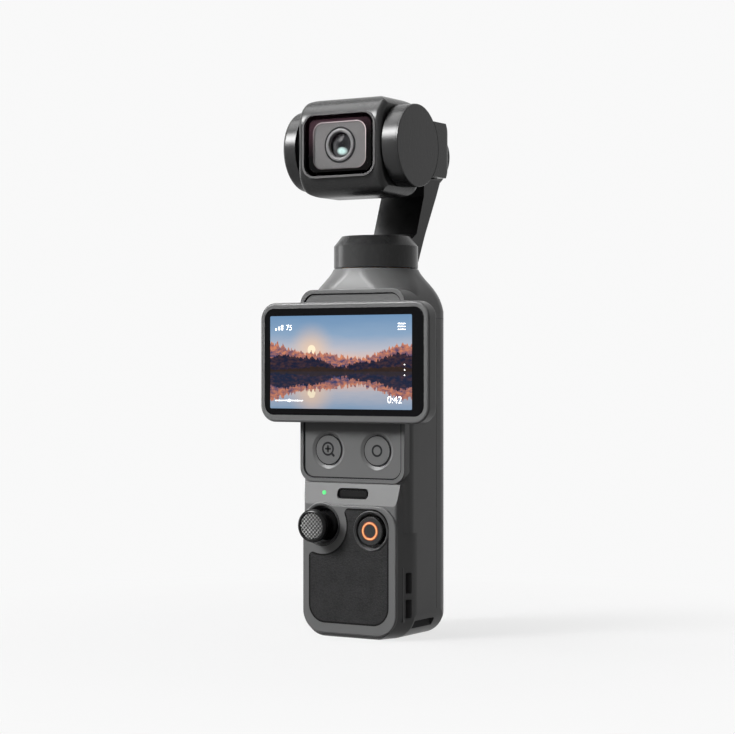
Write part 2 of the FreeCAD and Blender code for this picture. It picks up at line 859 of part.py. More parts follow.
def slot_loop(inset):
    return rounded(-d.slot_left + inset, d.slot_right - inset, d.slot_low + inset, d.slot_high - inset,
                   d.slot_corner - inset)


def speaker_grille():
    body = block("speaker_grille", "Y", -d.slot_floor, -d.cavity_front, slot_loop(0))
    prism(body, "Y", -d.slot_bar_front, -d.slot_floor, slot_loop(d.slot_bar_inset))
    return node(body)


def status_light():
    centre = (-d.light_left, 0, d.light_height)
    return node(rod("status_light", "Y", centre, -d.light_front, -d.board_front, d.light_radius))


def stick_collar():
    front = -d.collar_front
    seat = -d.collar_seat
    return node(turned("stick_collar", "Y", stick_centre, [
        (seat, d.collar_hole), (seat, d.collar_radius), (front, d.collar_radius), (front, d.collar_bowl),
        (seat - d.collar_lip, d.collar_hole)]))


def record_well():
    front = -d.plateau_front - d.record_lip_height
    seat = -d.plateau_front + d.grip_panel_thickness
    bore = d.record_radius + d.hinge_hub_clearance
    return node(turned("record_well", "Y", record_centre, [
        (front, d.record_well_radius), (front + d.record_lip_height, d.record_lip), (seat, d.record_lip),
        (seat, d.record_well_radius), (-d.cavity_front, d.record_well_radius), (-d.cavity_front, bore),
        (seat, bore)]))


# Handle: shells


def front_shell_cuts(deck_pocket, grip_inlay):
    deck_pocket_back = -d.deck_front + d.rim_height + d.deck_panel_thickness
    cuts = [deck_pocket, grip_inlay]
    cuts.append(block("rear_half", "Z", -reach, d.cover_top, box(-reach, reach, d.seam_back, reach)))
    cuts.append(rod("stick_collar_seat", "Y", stick_centre, -reach, -d.collar_seat, d.collar_radius))
    cuts.append(rod("stick_opening", "Y", stick_centre, -d.collar_front, 0, d.stick_bore))
    cuts.append(rod("record_opening", "Y", record_centre, -reach, 0, d.record_well_radius))
    cuts.append(block("slot_opening", "Y", -reach, 0, slot_loop(0)))
    cuts.append(rod("light_opening", "Y", (-d.light_left, 0, d.light_height), -reach, 0, d.light_radius))
    for name, centre in button_centres.items():
        cuts.append(rod(f"{name}_opening", "Y", centre, deck_pocket_back - d.wall, 0,
                        d.button_radius + d.hinge_hub_clearance))
    cuts.append(rod("hinge_opening", "Y", hinge_centre, -d.case_front, 0,
                    d.hinge_hub_radius + d.hinge_hub_clearance))
    cuts.append(rod("base_plate_seat", "Z", (0, 0, 0), d.neck_top - d.base_plate_thickness, d.neck_top + d.wall,
                    d.base_plate_radius))
    cuts.append(block("port_opening", "Z", -d.wall, d.floor_thickness + d.wall, port_loop(0)))
    card_mid = d.battery_front - d.main_board_thickness - d.card_reader_thickness / 2
    cuts.append(block("card_opening", "X", -reach, -side + d.wall * 2, rounded(
        card_mid - d.card_opening / 2, card_mid + d.card_opening / 2, d.card_low, d.card_low + d.card_width,
        d.card_opening * d.card_corner_share)))
    for sign, name in ((-1, "left"), (1, "right")):
        near = side - d.notch_depth
        low, high = (near, reach) if sign > 0 else (-reach, -near)
        cuts.append(block(f"{name}_notch", "X", low, high, rounded(
            -d.notch_front, d.notch_back, d.notch_low, d.notch_high, d.notch_depth / 2)))
    cuts.extend(strap_cuts())
    return cuts


def strap_cuts():
    # Two upright slots with a bar between them, joined behind the bar for a lanyard.
    surface = side - d.wall / 2
    bottom = surface - d.strap_depth
    bar_low = (d.strap_low + d.strap_high - d.strap_bar) / 2 - d.strap_bar / 5
    slots = block("strap_slots", "X", bottom, reach,
                  rounded(-d.strap_front, -d.strap_back, d.strap_low, bar_low, d.strap_bar / 4),
                  rounded(-d.strap_front, -d.strap_back, bar_low + d.strap_bar, d.strap_high, d.strap_bar / 4))
    tunnel = block("strap_tunnel", "X", bottom, surface - d.strap_bar_thickness,
                   box(-d.strap_front, -d.strap_back, d.strap_low + d.strap_bar, d.strap_high - d.strap_bar))
    return [slots, tunnel]


def strap_block():
    inner = side - d.wall - d.strap_block_depth
    return block("strap_block", "Z", d.floor_thickness - d.wall, d.strap_high + d.wall, box(
        inner, side - d.wall, -d.cavity_front - d.wall / 2, -d.strap_back + d.wall))


def board_bosses():
    loops = []
    for across in (-d.boss_side, d.boss_side):
        for up in (d.boss_low, d.boss_high):
            loops.append(disc(across, up, d.boss_radius))
            loops.append(disc(across, up, d.screw_radius))
    return block("board_bosses", "Y", -d.cavity_front - d.wall / 2, -d.board_front, *loops)


def shells(deck_pocket, grip_inlay):
    form = fuse("grip_form", lower_grip(), waist(), shoulder(), deck(), plateau())
    hollow = carve("grip_hollow", form, cavity())
    ribbed = fuse("grip_ribbed", hollow, strap_block(), board_bosses())
    node(carve("front_shell", ribbed, *front_shell_cuts(deck_pocket, grip_inlay)))
    rear = block("rear_region", "Z", -reach, d.cover_top, box(-reach, reach, d.seam_back, reach))
    node(common("rear_cover", hollow, rear))


# Handle: inner pieces


def port_loop(inset):
    middle = port_middle()
    depth = d.port_half_depth - inset
    width = d.port_half_width - inset
    return rounded(-width, width, middle - depth, middle + depth, depth * d.port_corner_share)


def port_middle():
    return d.battery_front - d.main_board_thickness - d.port_half_depth


def port_socket():
    body = block("port_socket", "Z", d.port_inset, d.port_high, port_loop(0))
    prism(body, "Z", d.port_inset, d.port_high - d.port_wall * 3, port_loop(d.port_wall), cut=True)
    middle = port_middle()
    half = d.port_tongue_thickness / 2
    prism(body, "Z", d.port_inset + d.port_tongue_inset, d.port_high - d.port_wall, box(
        -d.port_tongue_half, d.port_tongue_half, middle - half, middle + half))
    return node(body)


def control_board():
    front = -d.board_front
    loops = [box(-d.board_left, d.board_right, d.board_low, d.board_high)]
    hole = d.stick_base_half
    loops.append(box(-d.stick_left - hole, -d.stick_left + hole, d.stick_height - hole, d.stick_height + hole))
    for across in (-d.boss_side, d.boss_side):
        for up in (d.boss_low, d.boss_high):
            loops.append(disc(across, up, d.screw_radius))
    return node(block("control_board", "Y", front, front + d.board_thickness, *loops))


def board_screws():
    pieces = []
    back = -d.board_front + d.board_thickness
    for across in (-d.boss_side, d.boss_side):
        for up in (d.boss_low, d.boss_high):
            pieces.append(turned(f"board_screw_{len(pieces)}", "Y", (across, 0, up), [
                (back + d.screw_head_height, 0), (back + d.screw_head_height, d.screw_head_radius),
                (back, d.screw_head_radius), (back, d.screw_radius),
                (back - d.board_thickness - d.screw_length, d.screw_radius),
                (back - d.board_thickness - d.screw_length, 0)]))
    return node(compound("board_screws", pieces))


def compound(label, pieces):
    result = doc.addObject("Part::Compound", label)
    result.Label = label
    result.Links = pieces
    return result


def switch_domes():
    front = -d.board_front - d.switch_height
    pieces = []
    for name, centre in (("record", record_centre), *button_centres.items()):
        pieces.append(turned(f"{name}_dome", "Y", centre, [
            (front, 0), (front, d.switch_radius / 2), (-d.board_front, d.switch_radius), (-d.board_front, 0)]))
    return node(compound("switch_domes", pieces))


def battery():
    back = d.grip_back - d.wall
    body = block("battery_cell", "Z", d.battery_low, d.battery_high, box(
        -d.battery_half, d.battery_half, d.battery_front, back))
    for sign in (-1, 1):
        soften(body, d.battery_corner, upright_at(d.battery_half * sign, back))
    return node(body)


def main_board():
    front = d.battery_front - d.main_board_thickness
    return node(block("main_board", "Y", front, d.battery_front, box(
        -d.main_board_half, d.main_board_half, d.floor_thickness, d.main_board_high)))


def card_reader():
    back = d.battery_front - d.main_board_thickness
    left = -side + d.wall
    middle = back - d.card_reader_thickness / 2
    half = d.card_opening / 4
    body = block("card_reader", "Y", back - d.card_reader_thickness, back, box(
        left, left + d.card_reader_depth, d.card_low - half, d.card_low + d.card_width + half))
    prism(body, "X", left, left + d.card_reader_depth - half * 2, box(
        middle - half, middle + half, d.card_low + half, d.card_low + d.card_width - half), cut=True)
    return node(body)


def speaker():
    middle = (d.slot_right - d.slot_left) / 2
    low = (d.slot_low + d.slot_high - d.speaker_height) / 2
    return node(block("speaker", "Y", -d.cavity_front, -d.board_front, box(
        middle - d.speaker_half, middle + d.speaker_half, low, low + d.speaker_height)))


# Handle: thumb stick


def stick_base():
    half = d.stick_base_half
    flange = half + d.stick_base_flange
    x = -d.stick_left
    z = d.stick_height
    body = block("stick_base", "Y", -d.stick_base_front, -d.board_front, box(
        x - flange, x + flange, z - flange, z + flange))
    prism(body, "Y", -d.board_front, -d.stick_base_back, box(x - half, x + half, z - half, z + half))
    prism(body, "Y", -d.stick_base_front, -d.stick_base_back - d.board_thickness, disc(
        x, z, d.stick_base_bore), cut=True)
    prism(body, "X", x - half, x + half, disc(
        -d.stick_pivot, z, d.stick_pin_radius + d.running_gap), cut=True)
    return node(body)


def stick_yoke():
    half = d.yoke_thickness / 2
    x = -d.stick_left
    z = d.stick_height
    band = ring("stick_yoke_band", "Y", stick_centre, -d.stick_pivot - half, -d.stick_pivot + half,
                d.yoke_bore, d.yoke_radius)
    sides = fuse("stick_yoke_blank", band, *[
        rod(f"stick_yoke_pin_{name}", "X", (x, -d.stick_pivot, z), low, high, d.stick_pin_radius)
        for name, low, high in (
            ("left", -d.stick_base_half + d.end_gap, -d.yoke_bore - half),
            ("right", d.yoke_bore + half, d.stick_base_half - d.end_gap))])
    bore = rod("stick_yoke_bore", "Z", (x, -d.stick_pivot, z), -reach, reach,
               d.stick_pin_radius + d.running_gap)
    return node(carve("stick_yoke", sides, bore))


def stick_post():
    half = d.stick_hub_thickness / 2
    x = -d.stick_left
    z = d.stick_height
    pin_end = d.yoke_radius - d.end_gap
    stem = turned("stick_post_stem", "Y", stick_centre, [
        (-d.stick_rod_tip, 0), (-d.stick_rod_tip, d.stick_rod_radius), (-d.stick_pivot - half, d.stick_rod_radius),
        (-d.stick_pivot - half, d.stick_hub_radius), (-d.stick_pivot + half, d.stick_hub_radius),
        (-d.stick_pivot + half, 0)])
    pin_body = rod("stick_post_pin", "Z", (x, -d.stick_pivot, z), -pin_end, pin_end, d.stick_pin_radius)
    return node(fuse("stick_post", stem, pin_body))


def stick_cap():
    # The cap, its neck and a dome that is centred on the pivot and closes the opening.
    front = -d.stick_cap_front
    rim = front + d.stick_cap_rim
    back = front + d.stick_cap_thickness
    bore = d.stick_rod_radius + d.running_gap
    bore_end = -d.stick_rod_tip - d.button_travel - d.end_gap
    neck_back = -d.stick_pivot - d.dome_radius + d.dome_wall
    cap = turned("stick_cap_top", "Y", stick_centre, [
        (front, 0), (front, d.stick_cap_radius - d.stick_cap_rim), (rim, d.stick_cap_radius),
        (back, d.stick_cap_radius), (back, d.stick_neck_radius), (neck_back + d.dome_wall, d.stick_neck_radius),
        (neck_back + d.dome_wall, bore), (bore_end, bore), (bore_end, 0)])
    centre = (-d.stick_left, -d.stick_pivot, d.stick_height)
    shell = carve("stick_dome_shell", ball("stick_dome_outer", centre, d.dome_radius),
                  ball("stick_dome_inner", centre, d.dome_radius - d.dome_wall))
    zone = ring("stick_dome_zone", "Y", stick_centre, -reach, -d.dome_rim, bore, reach)
    return node(fuse("stick_cap", cap, common("stick_dome", shell, zone)))


def ball(label, centre, radius):
    sphere = doc.addObject("Part::Sphere", label)
    sphere.Label = label
    bind(sphere, "Radius", radius)
    for name, place in zip("xyz", centre):
        bind(sphere, f"Placement.Base.{name}", place)
    return sphere


# Buttons


def push_button(label, centre, front, radius, groove=None):
    # A cap with a flange behind the wall that stops it and a stem that reaches its switch.
    wall_back = -d.cavity_front
    flange_front = wall_back + d.end_gap
    flange_back = flange_front + d.button_flange
    stem_end = -d.board_front - d.switch_height - d.button_travel - d.end_gap
    face = [(front, 0)]
    if groove:
        inner, outer, depth = groove
        face = [(front, 0), (front, inner), (front + depth, inner), (front + depth, outer), (front, outer)]
    profile = face + [
        (front, radius - d.end_gap * 4), (front + d.end_gap * 4, radius), (flange_front, radius),
        (flange_front, radius + d.button_flange_step), (flange_back, radius + d.button_flange_step),
        (flange_back, d.button_stem), (stem_end, d.button_stem), (stem_end, 0)]
    return node(turned(label, "Y", centre, profile))


def buttons():
    deck_face = -d.deck_front + d.rim_height
    for name, centre in button_centres.items():
        push_button(f"{name}_button", centre, deck_face + d.button_inset, d.button_radius)
    front = -d.plateau_front - d.record_proud
    groove = (d.record_ring_inner, d.record_ring_outer, d.record_ring_depth)
    push_button("record_button", record_centre, front, d.record_radius, groove)
    node(ring("record_ring", "Y", record_centre, front, front + d.record_ring_depth, d.record_ring_inner,
              d.record_ring_outer))


# Display


def display():
    front = -d.case_front
    back = -d.case_back
    glass_back = front + d.glass_thickness
    panel_back = glass_back + d.panel_thickness
    glass_loop = rounded(-d.glass_half_width, d.glass_half_width, d.glass_low, d.glass_high, d.glass_corner)
    panel_half = d.glass_half_width - d.panel_margin
    panel_loop = rounded(-panel_half, panel_half, d.glass_low + d.panel_margin, d.glass_high - d.panel_margin,
                         d.glass_corner - d.panel_margin)
    case = block("display_case", "Y", front, back, rounded(
        -d.case_half_width, d.case_half_width, d.case_low, d.case_high, d.case_corner))
    soften(case, d.case_edge, lying_at("Y", front))
    soften(case, d.case_edge, lying_at("Y", back))
    prism(case, "Y", front, glass_back, glass_loop, cut=True)
    prism(case, "Y", front, panel_back, panel_loop, cut=True)
    screws = [disc(-d.hinge_left + dx * d.hinge_screw_circle, d.hinge_height + dz * d.hinge_screw_circle,
                   d.screw_radius) for dx, dz in ((1, 0), (-1, 0), (0, 1), (0, -1))]
    prism(case, "Y", back - d.screw_length, back, *screws, cut=True)
    node(case)
    node(block("display_glass", "Y", front, glass_back, glass_loop))
    node(block("display_panel", "Y", glass_back, panel_back, panel_loop))


def hinge():
    # Hub and journal turn in the hinge plate. The clip behind the plate holds them.
    plate_front = -d.cavity_front
    plate_back = plate_front + d.hinge_plate_thickness
    clip_front = plate_back + d.end_gap
    clip_back = clip_front + d.hinge_clip_thickness
    x = -d.hinge_left
    z = d.hinge_height
    half = d.hinge_plate_half
    node(block("hinge_plate", "Y", plate_front, plate_back,
               box(x - half, x + half, z - half, z + half),
               disc(x, z, d.hinge_journal_radius + d.running_gap)))
    hub = turned("hinge_hub_blank", "Y", hinge_centre, [
        (-d.case_back, d.hinge_wire_bore), (-d.case_back, d.hinge_hub_radius),
        (plate_front - d.end_gap, d.hinge_hub_radius), (plate_front - d.end_gap, d.hinge_journal_radius),
        (clip_front, d.hinge_journal_radius), (clip_front, d.hinge_wire_bore)])
    screws = []
    holes = []
    for dx, dz in ((1, 0), (-1, 0), (0, 1), (0, -1)):
        centre = (x + d.hinge_screw_circle * dx, 0, z + d.hinge_screw_circle * dz)
        name = f"hinge_screw_{len(screws)}"
        screws.append(turned(name, "Y", centre, [
            (-d.case_back - d.screw_length, 0), (-d.case_back - d.screw_length, d.screw_radius),
            (clip_back, d.screw_radius), (clip_back, d.screw_head_radius),
            (clip_back + d.screw_head_height, d.screw_head_radius), (clip_back + d.screw_head_height, 0)]))
        holes.append(rod(name + "_hole", "Y", centre, -d.case_front, clip_back + d.screw_head_height,
                         d.screw_radius))
    bores = fuse("hinge_bores", *holes)
    clip = ring("hinge_clip_blank", "Y", hinge_centre, clip_front, clip_back, d.hinge_wire_bore,
                d.hinge_clip_radius)
    node(carve("hinge_hub", hub, bores))
    node(carve("hinge_clip", clip, bores))
    node(compound("hinge_screws", screws))


# Motors: a toothed stator on a tower that holds the bearing, a shaft and a ring of magnets


def stator(label, axis, centre, low, high, tip_radius):
    # Polar pattern of teeth, each with a wider tip, on a round core.
    core = d.tower_radius + d.stator_yoke
    body = new_body(label)
    prism(body, axis, low, high, disc(0, 0, core), disc(0, 0, d.tower_radius))
    overlap = d.stator_yoke / 2
    half = d.tooth_width / 2
    tooth = prism(body, axis, low, high, outline([
        (core - overlap, -half), (tip_radius - d.tooth_tip, -half), (tip_radius - d.tooth_tip, -half * 2),
        (tip_radius - d.tooth_tip / 4, -half * 2), (tip_radius, 0), (tip_radius - d.tooth_tip / 4, half * 2),
        (tip_radius - d.tooth_tip, half * 2), (tip_radius - d.tooth_tip, half), (core - overlap, half)]))
    doc.recompute()
    pattern = body.newObject("PartDesign::PolarPattern", label + "_teeth")
    pattern.Originals = [tooth]
    roles = {"X": "X_Axis", "Y": "Y_Axis", "Z": "Z_Axis"}
    line = [feature for feature in body.Origin.OriginFeatures if feature.Role == roles[axis]][0]
    pattern.Axis = (line, [""])
    pattern.Angle = 360
    pattern.Occurrences = int(d.tooth_count.value)
    bind(pattern, "Occurrences", d.tooth_count)
    body.Tip = pattern
    for name, place in zip("xyz", centre):
        bind(body, f"Placement.Base.{name}", place)
    return node(body)


def bearing(label, axis, centre, low, high):
    return node(ring(label, axis, centre, low, high, d.shaft_radius + d.running_gap, d.bearing_radius))


# Pan ring and arm

pan_centre = (0, 0, 0)
roll_centre = (0, 0, d.head_height)
tilt_centre = (0, -d.tilt_forward, d.head_height)
lens_centre = (-d.lens_left, 0, d.head_height + d.window_up)


def pan_joint():
    neck = d.neck_top
    low = neck + d.seam_gap
    wall_top = low + d.ring_wall_height
    top = wall_top + d.ring_chamfer_height
    inner_top = top - d.ring_top_thickness
    bore = d.neck_radius - d.ring_wall
    shaft_end = inner_top + d.ring_top_thickness / 2
    magnets_in = bore - d.magnet_thickness
    tower_top = inner_top - d.seam_gap * 3
    node(turned("pan_base", "Z", pan_centre, [
        (neck - d.base_plate_thickness, d.bearing_radius), (neck - d.base_plate_thickness, d.base_plate_radius),
        (neck, d.base_plate_radius), (neck, d.tower_radius), (tower_top, d.tower_radius),
        (tower_top, d.bearing_radius)]))
    stator("pan_stator", "Z", pan_centre, neck + d.seam_gap, wall_top - d.seam_gap, magnets_in - d.air_gap)
    bearing("pan_bearing", "Z", pan_centre, neck, tower_top)
    blank = turned("pan_ring_blank", "Z", pan_centre, [
        (low, 0), (low, d.neck_radius), (wall_top, d.neck_radius),
        (top, d.neck_radius - d.ring_chamfer_width), (top, 0)])
    hollow = turned("pan_ring_hollow", "Z", pan_centre, [
        (neck, 0), (neck, bore), (wall_top, bore),
        (inner_top, bore - d.ring_chamfer_width * d.ring_inner_share), (inner_top, d.shaft_radius),
        (shaft_end, d.shaft_radius), (shaft_end, 0)])
    node(carve("pan_ring", blank, hollow))
    node(ring("pan_magnets", "Z", pan_centre, low + d.seam_gap, wall_top - d.seam_gap, magnets_in, bore))
    node(rod("pan_shaft", "Z", pan_centre, neck, shaft_end, d.shaft_radius))
    return blank


def arm(pan_blank):
    half = d.arm_half_width
    inner = d.neck_radius / 2
    blank = new_body("arm_blank")
    prism(blank, "X", -half, half, outline([
        (inner, d.arm_foot), (d.arm_foot_back, d.arm_foot), (d.arm_bend_back, d.arm_bend),
        (d.arm_top_back, d.arm_top), (d.roll_back - d.roll_edge, d.head_height - d.arm_half_width),
        (d.roll_back - d.roll_edge, d.head_height), (d.roll_front + d.roll_wall, d.head_height),
        (d.arm_top_front, d.arm_top), (d.arm_bend_front, d.arm_bend), (inner, d.arm_bend - d.ring_chamfer_height)]))
    soften(blank, d.arm_edge, back_edge_of_arm)
    housing = turned("roll_housing", "Y", roll_centre, [
        (d.roll_front, 0), (d.roll_front, d.roll_radius), (d.roll_back - d.roll_edge, d.roll_radius),
        (d.roll_back, d.roll_radius - d.roll_edge), (d.roll_back, 0)])
    motor_end = d.roll_back - d.roll_back_thickness
    # The hollow of the housing leaves a tower for the bearing standing on the back wall.
    hollow = turned("roll_hollow", "Y", roll_centre, [
        (d.bracket_back, 0), (d.bracket_back, d.roll_radius - d.roll_wall),
        (motor_end, d.roll_radius - d.roll_wall), (motor_end, d.tower_radius),
        (d.roll_front + d.roll_wall * 2, d.tower_radius), (d.roll_front + d.roll_wall * 2, d.bearing_radius),
        (motor_end, d.bearing_radius), (motor_end, 0)])
    cover = block("arm_cover_blank", "X", -d.arm_cover_half, d.arm_cover_half, outline(cover_points()))
    form = fuse("arm_form", blank, housing)
    node(carve("arm_frame", form, pan_blank, hollow, cover))
    node(common("arm_cover", cover, form))
    stator_back = motor_end - d.roll_wall
    stator("roll_stator", "Y", roll_centre, stator_back - d.roll_motor_length, stator_back,
           roll_magnet_bore() - d.air_gap)
    bearing("roll_bearing", "Y", roll_centre, d.roll_front + d.roll_wall * 2, motor_end)


def back_edge_of_arm(edge):
    # The long edges down both sides of the arm's sloping back.
    limits = edge.BoundBox
    along_side = abs(limits.XMin) > 1 and abs(limits.XMax - limits.XMin) < CLOSE
    lowest = d.arm_foot.value - 0.1
    highest = d.head_height.value - d.arm_half_width.value + 0.1
    sloping = limits.ZMax - limits.ZMin > 1 and limits.YMax - limits.YMin > 0.5
    behind = limits.YMin > d.arm_foot_back.value - 0.1 and limits.YMax > d.arm_bend_back.value - 0.1
    return along_side and sloping and behind and limits.ZMin > lowest and limits.ZMax < highest


def cover_points():
    # A strip let into the arm's back, between its two bends.
    run_y = d.arm_top_back - d.arm_bend_back
    run_z = d.arm_top - d.arm_bend
    low_share = d.arm_cover_inset / run_z
    low = (d.arm_bend_back + run_y * low_share, d.arm_bend + d.arm_cover_inset)
    high = (d.arm_top_back - run_y * low_share, d.arm_top - d.arm_cover_inset)
    return [low, high, (high[0] - d.arm_cover_thickness, high[1]), (low[0] - d.arm_cover_thickness, low[1])]


# Roll bracket and tilt motor


def roll_rotor_radius():
    return d.roll_radius - d.roll_wall - d.seam_gap


def roll_magnet_bore():
    return roll_rotor_radius() - d.rotor_ring_wall - d.magnet_thickness


def bracket():
    z = d.head_height
    rear = new_body("bracket_rear")
    prism(rear, "Y", d.bracket_front, d.bracket_back, box(0, d.bracket_side, z - d.bracket_down, z + d.bracket_up))
    prism(rear, "Y", d.bracket_front, d.bracket_back, disc(0, z, d.bracket_hub_radius))
    inner = d.bracket_side - d.bracket_side_thickness
    flank = new_body("bracket_flank")
    prism(flank, "X", inner, d.bracket_side, outline([
        (-d.tilt_forward, z - d.bracket_down), (d.bracket_back, z - d.bracket_down),
        (d.bracket_back, z + d.bracket_up), (-d.tilt_forward, z + d.bracket_up)]))
    form = new_body("bracket_limit")
    slant_start = d.bracket_back - d.bracket_slant_depth
    prism(form, "X", -reach, d.bracket_side, outline([
        (-reach, z - d.bracket_down), (slant_start, z - d.bracket_down),
        (d.bracket_back, z - d.bracket_down + d.bracket_slant_height),
        (d.bracket_back, z + d.bracket_up - d.bracket_slant_height),
        (slant_start, z + d.bracket_up), (-reach, z + d.bracket_up)]))
    rim = new_body("bracket_turn")
    prism(rim, "Z", z - reach, z + reach, rounded(
        -reach, d.bracket_side, -reach, d.bracket_back, d.bracket_outer_corner))
    elbow = common("bracket_elbow", common("bracket_legs", fuse("bracket_sides", rear, flank), form), rim)
    hub = rod("bracket_hub", "Y", roll_centre, d.bracket_front, d.bracket_back, d.bracket_hub_radius)
    seat = rod("bracket_tilt_seat", "X", tilt_centre, 0, reach, d.tilt_radius)
    node(carve("roll_bracket", fuse("bracket_form", elbow, hub), seat))


def roll_joint():
    back = d.bracket_back
    disc_back = d.roll_front - d.seam_gap
    rotor = roll_rotor_radius()
    motor_end = d.roll_back - d.roll_back_thickness
    ring_end = motor_end - d.roll_wall
    magnets_out = rotor - d.rotor_ring_wall
    # The rotor's shaft is turned in one piece with it.
    shaft_end = motor_end - d.end_gap
    node(turned("roll_rotor", "Y", roll_centre, [
        (back, 0), (back, d.bracket_hub_radius), (disc_back, d.bracket_hub_radius), (disc_back, rotor),
        (ring_end, rotor), (ring_end, magnets_out), (disc_back, magnets_out), (disc_back, d.shaft_radius),
        (shaft_end, d.shaft_radius), (shaft_end, 0)]))
    node(ring("roll_magnets", "Y", roll_centre, ring_end - d.roll_motor_length, ring_end, roll_magnet_bore(),
              magnets_out))


def tilt_motor():
    outer_face = d.bracket_side - d.tilt_cap_thickness
    wall_face = outer_face - d.tilt_back_thickness
    tower_tip = d.head_right + d.rotor_disc_thickness + d.seam_gap
    node(turned("tilt_housing", "X", tilt_centre, [
        (d.tilt_inner, d.tilt_bore), (d.tilt_inner, d.tilt_radius), (outer_face, d.tilt_radius),
        (outer_face, d.bearing_radius), (tower_tip, d.bearing_radius), (tower_tip, d.tower_radius),
        (wall_face, d.tower_radius), (wall_face, d.tilt_bore)]))
    cap = ring("tilt_cap", "X", tilt_centre, outer_face, d.bracket_side, 0, d.tilt_cap_radius)
    soften(cap, d.tilt_cap_edge, lying_at("X", d.bracket_side), chamfer=True)
    node(cap)
    disc_face = d.head_right + d.rotor_disc_thickness
    ring_end = wall_face - d.seam_gap
    magnets_out = d.rotor_disc_radius - d.rotor_ring_wall
    magnets_in = magnets_out - d.magnet_thickness
    stator("tilt_stator", "X", tilt_centre, disc_face + d.seam_gap, ring_end, magnets_in - d.air_gap)
    bearing("tilt_bearing", "X", tilt_centre, tower_tip, outer_face)
    shaft_end = outer_face - d.end_gap
    node(turned("tilt_rotor", "X", tilt_centre, [
        (d.head_right, 0), (d.head_right, d.rotor_disc_radius), (ring_end, d.rotor_disc_radius),
        (ring_end, magnets_out), (disc_face, magnets_out), (disc_face, d.shaft_radius),
        (shaft_end, d.shaft_radius), (shaft_end, 0)]))
    node(ring("tilt_magnets", "X", tilt_centre, disc_face, ring_end, magnets_in, magnets_out))


# Camera head


def head_loop(inset):
    y = -d.tilt_forward
    z = d.head_height
    depth = d.head_half_depth - inset
    height = d.head_half_height - inset
    return rounded(y - depth, y + depth, z - height, z + height, d.head_corner - inset)


def window_loop(grow):
    x = -d.window_left
    z = d.head_height + d.window_up
    width = d.window_half_width + grow
    height = d.window_half_height + grow
    return rounded(x - width, x + width, z - height, z + height, d.window_corner + grow)


def head_outline(inset):
    # Seen from the front, the ends of the head fall away in a soft curve towards the discs.
    return rounded(-d.head_left - d.head_end_overrun + inset, d.head_right + d.head_end_overrun - inset,
                   d.head_height - d.head_half_height + inset, d.head_height + d.head_half_height - inset,
                   d.head_end_round - inset)


def head_shells():
    body = block("head_body", "X", -d.head_left, d.head_right, head_loop(0))
    soften(body, d.head_end_edge, lying_at("X", -d.head_left))
    soften(body, d.head_end_edge, lying_at("X", d.head_right))
    form = common("head_form", body, block("head_outline", "Y", -reach, reach, head_outline(0)))
    space = block("head_space", "X", -d.head_left + d.head_wall, d.head_right - d.head_wall,
                  head_loop(d.head_wall))
    hollow = common("head_hollow", space, block("head_inline", "Y", -reach, reach, head_outline(d.head_wall)))
    front = -d.tilt_forward - d.head_half_depth
    back = -d.tilt_forward + d.head_half_depth
    opening = block("head_opening", "Y", front - d.head_wall, front + d.head_wall * 2,
                    window_loop(d.window_frame_width))
    cover_half = d.head_back_cover_half
    x = (d.head_right - d.head_left) / 2
    z = d.head_height
    # The back cover follows the curve of the shell, so it is cut from the same form.
    door = block("head_door", "Y", back - d.head_wall * 2, back + d.head_wall, rounded(
        x - cover_half, x + cover_half, z - cover_half, z + cover_half, d.head_back_cover_corner))
    skin = carve("head_skin", form, hollow)
    node(carve("head_shell", skin, opening, door))
    node(common("head_back_cover", skin, door))
    groove = -d.head_left - d.head_groove_width
    cap = turned("head_side_cap", "X", tilt_centre, [
        (-d.head_left, 0), (-d.head_left, d.head_groove_radius), (groove, d.head_groove_radius),
        (groove, d.head_cap_radius), (-d.head_cap_end, d.head_cap_radius), (-d.head_cap_end, 0)])
    soften(cap, d.head_cap_edge, lying_at("X", -d.head_cap_end))
    node(cap)


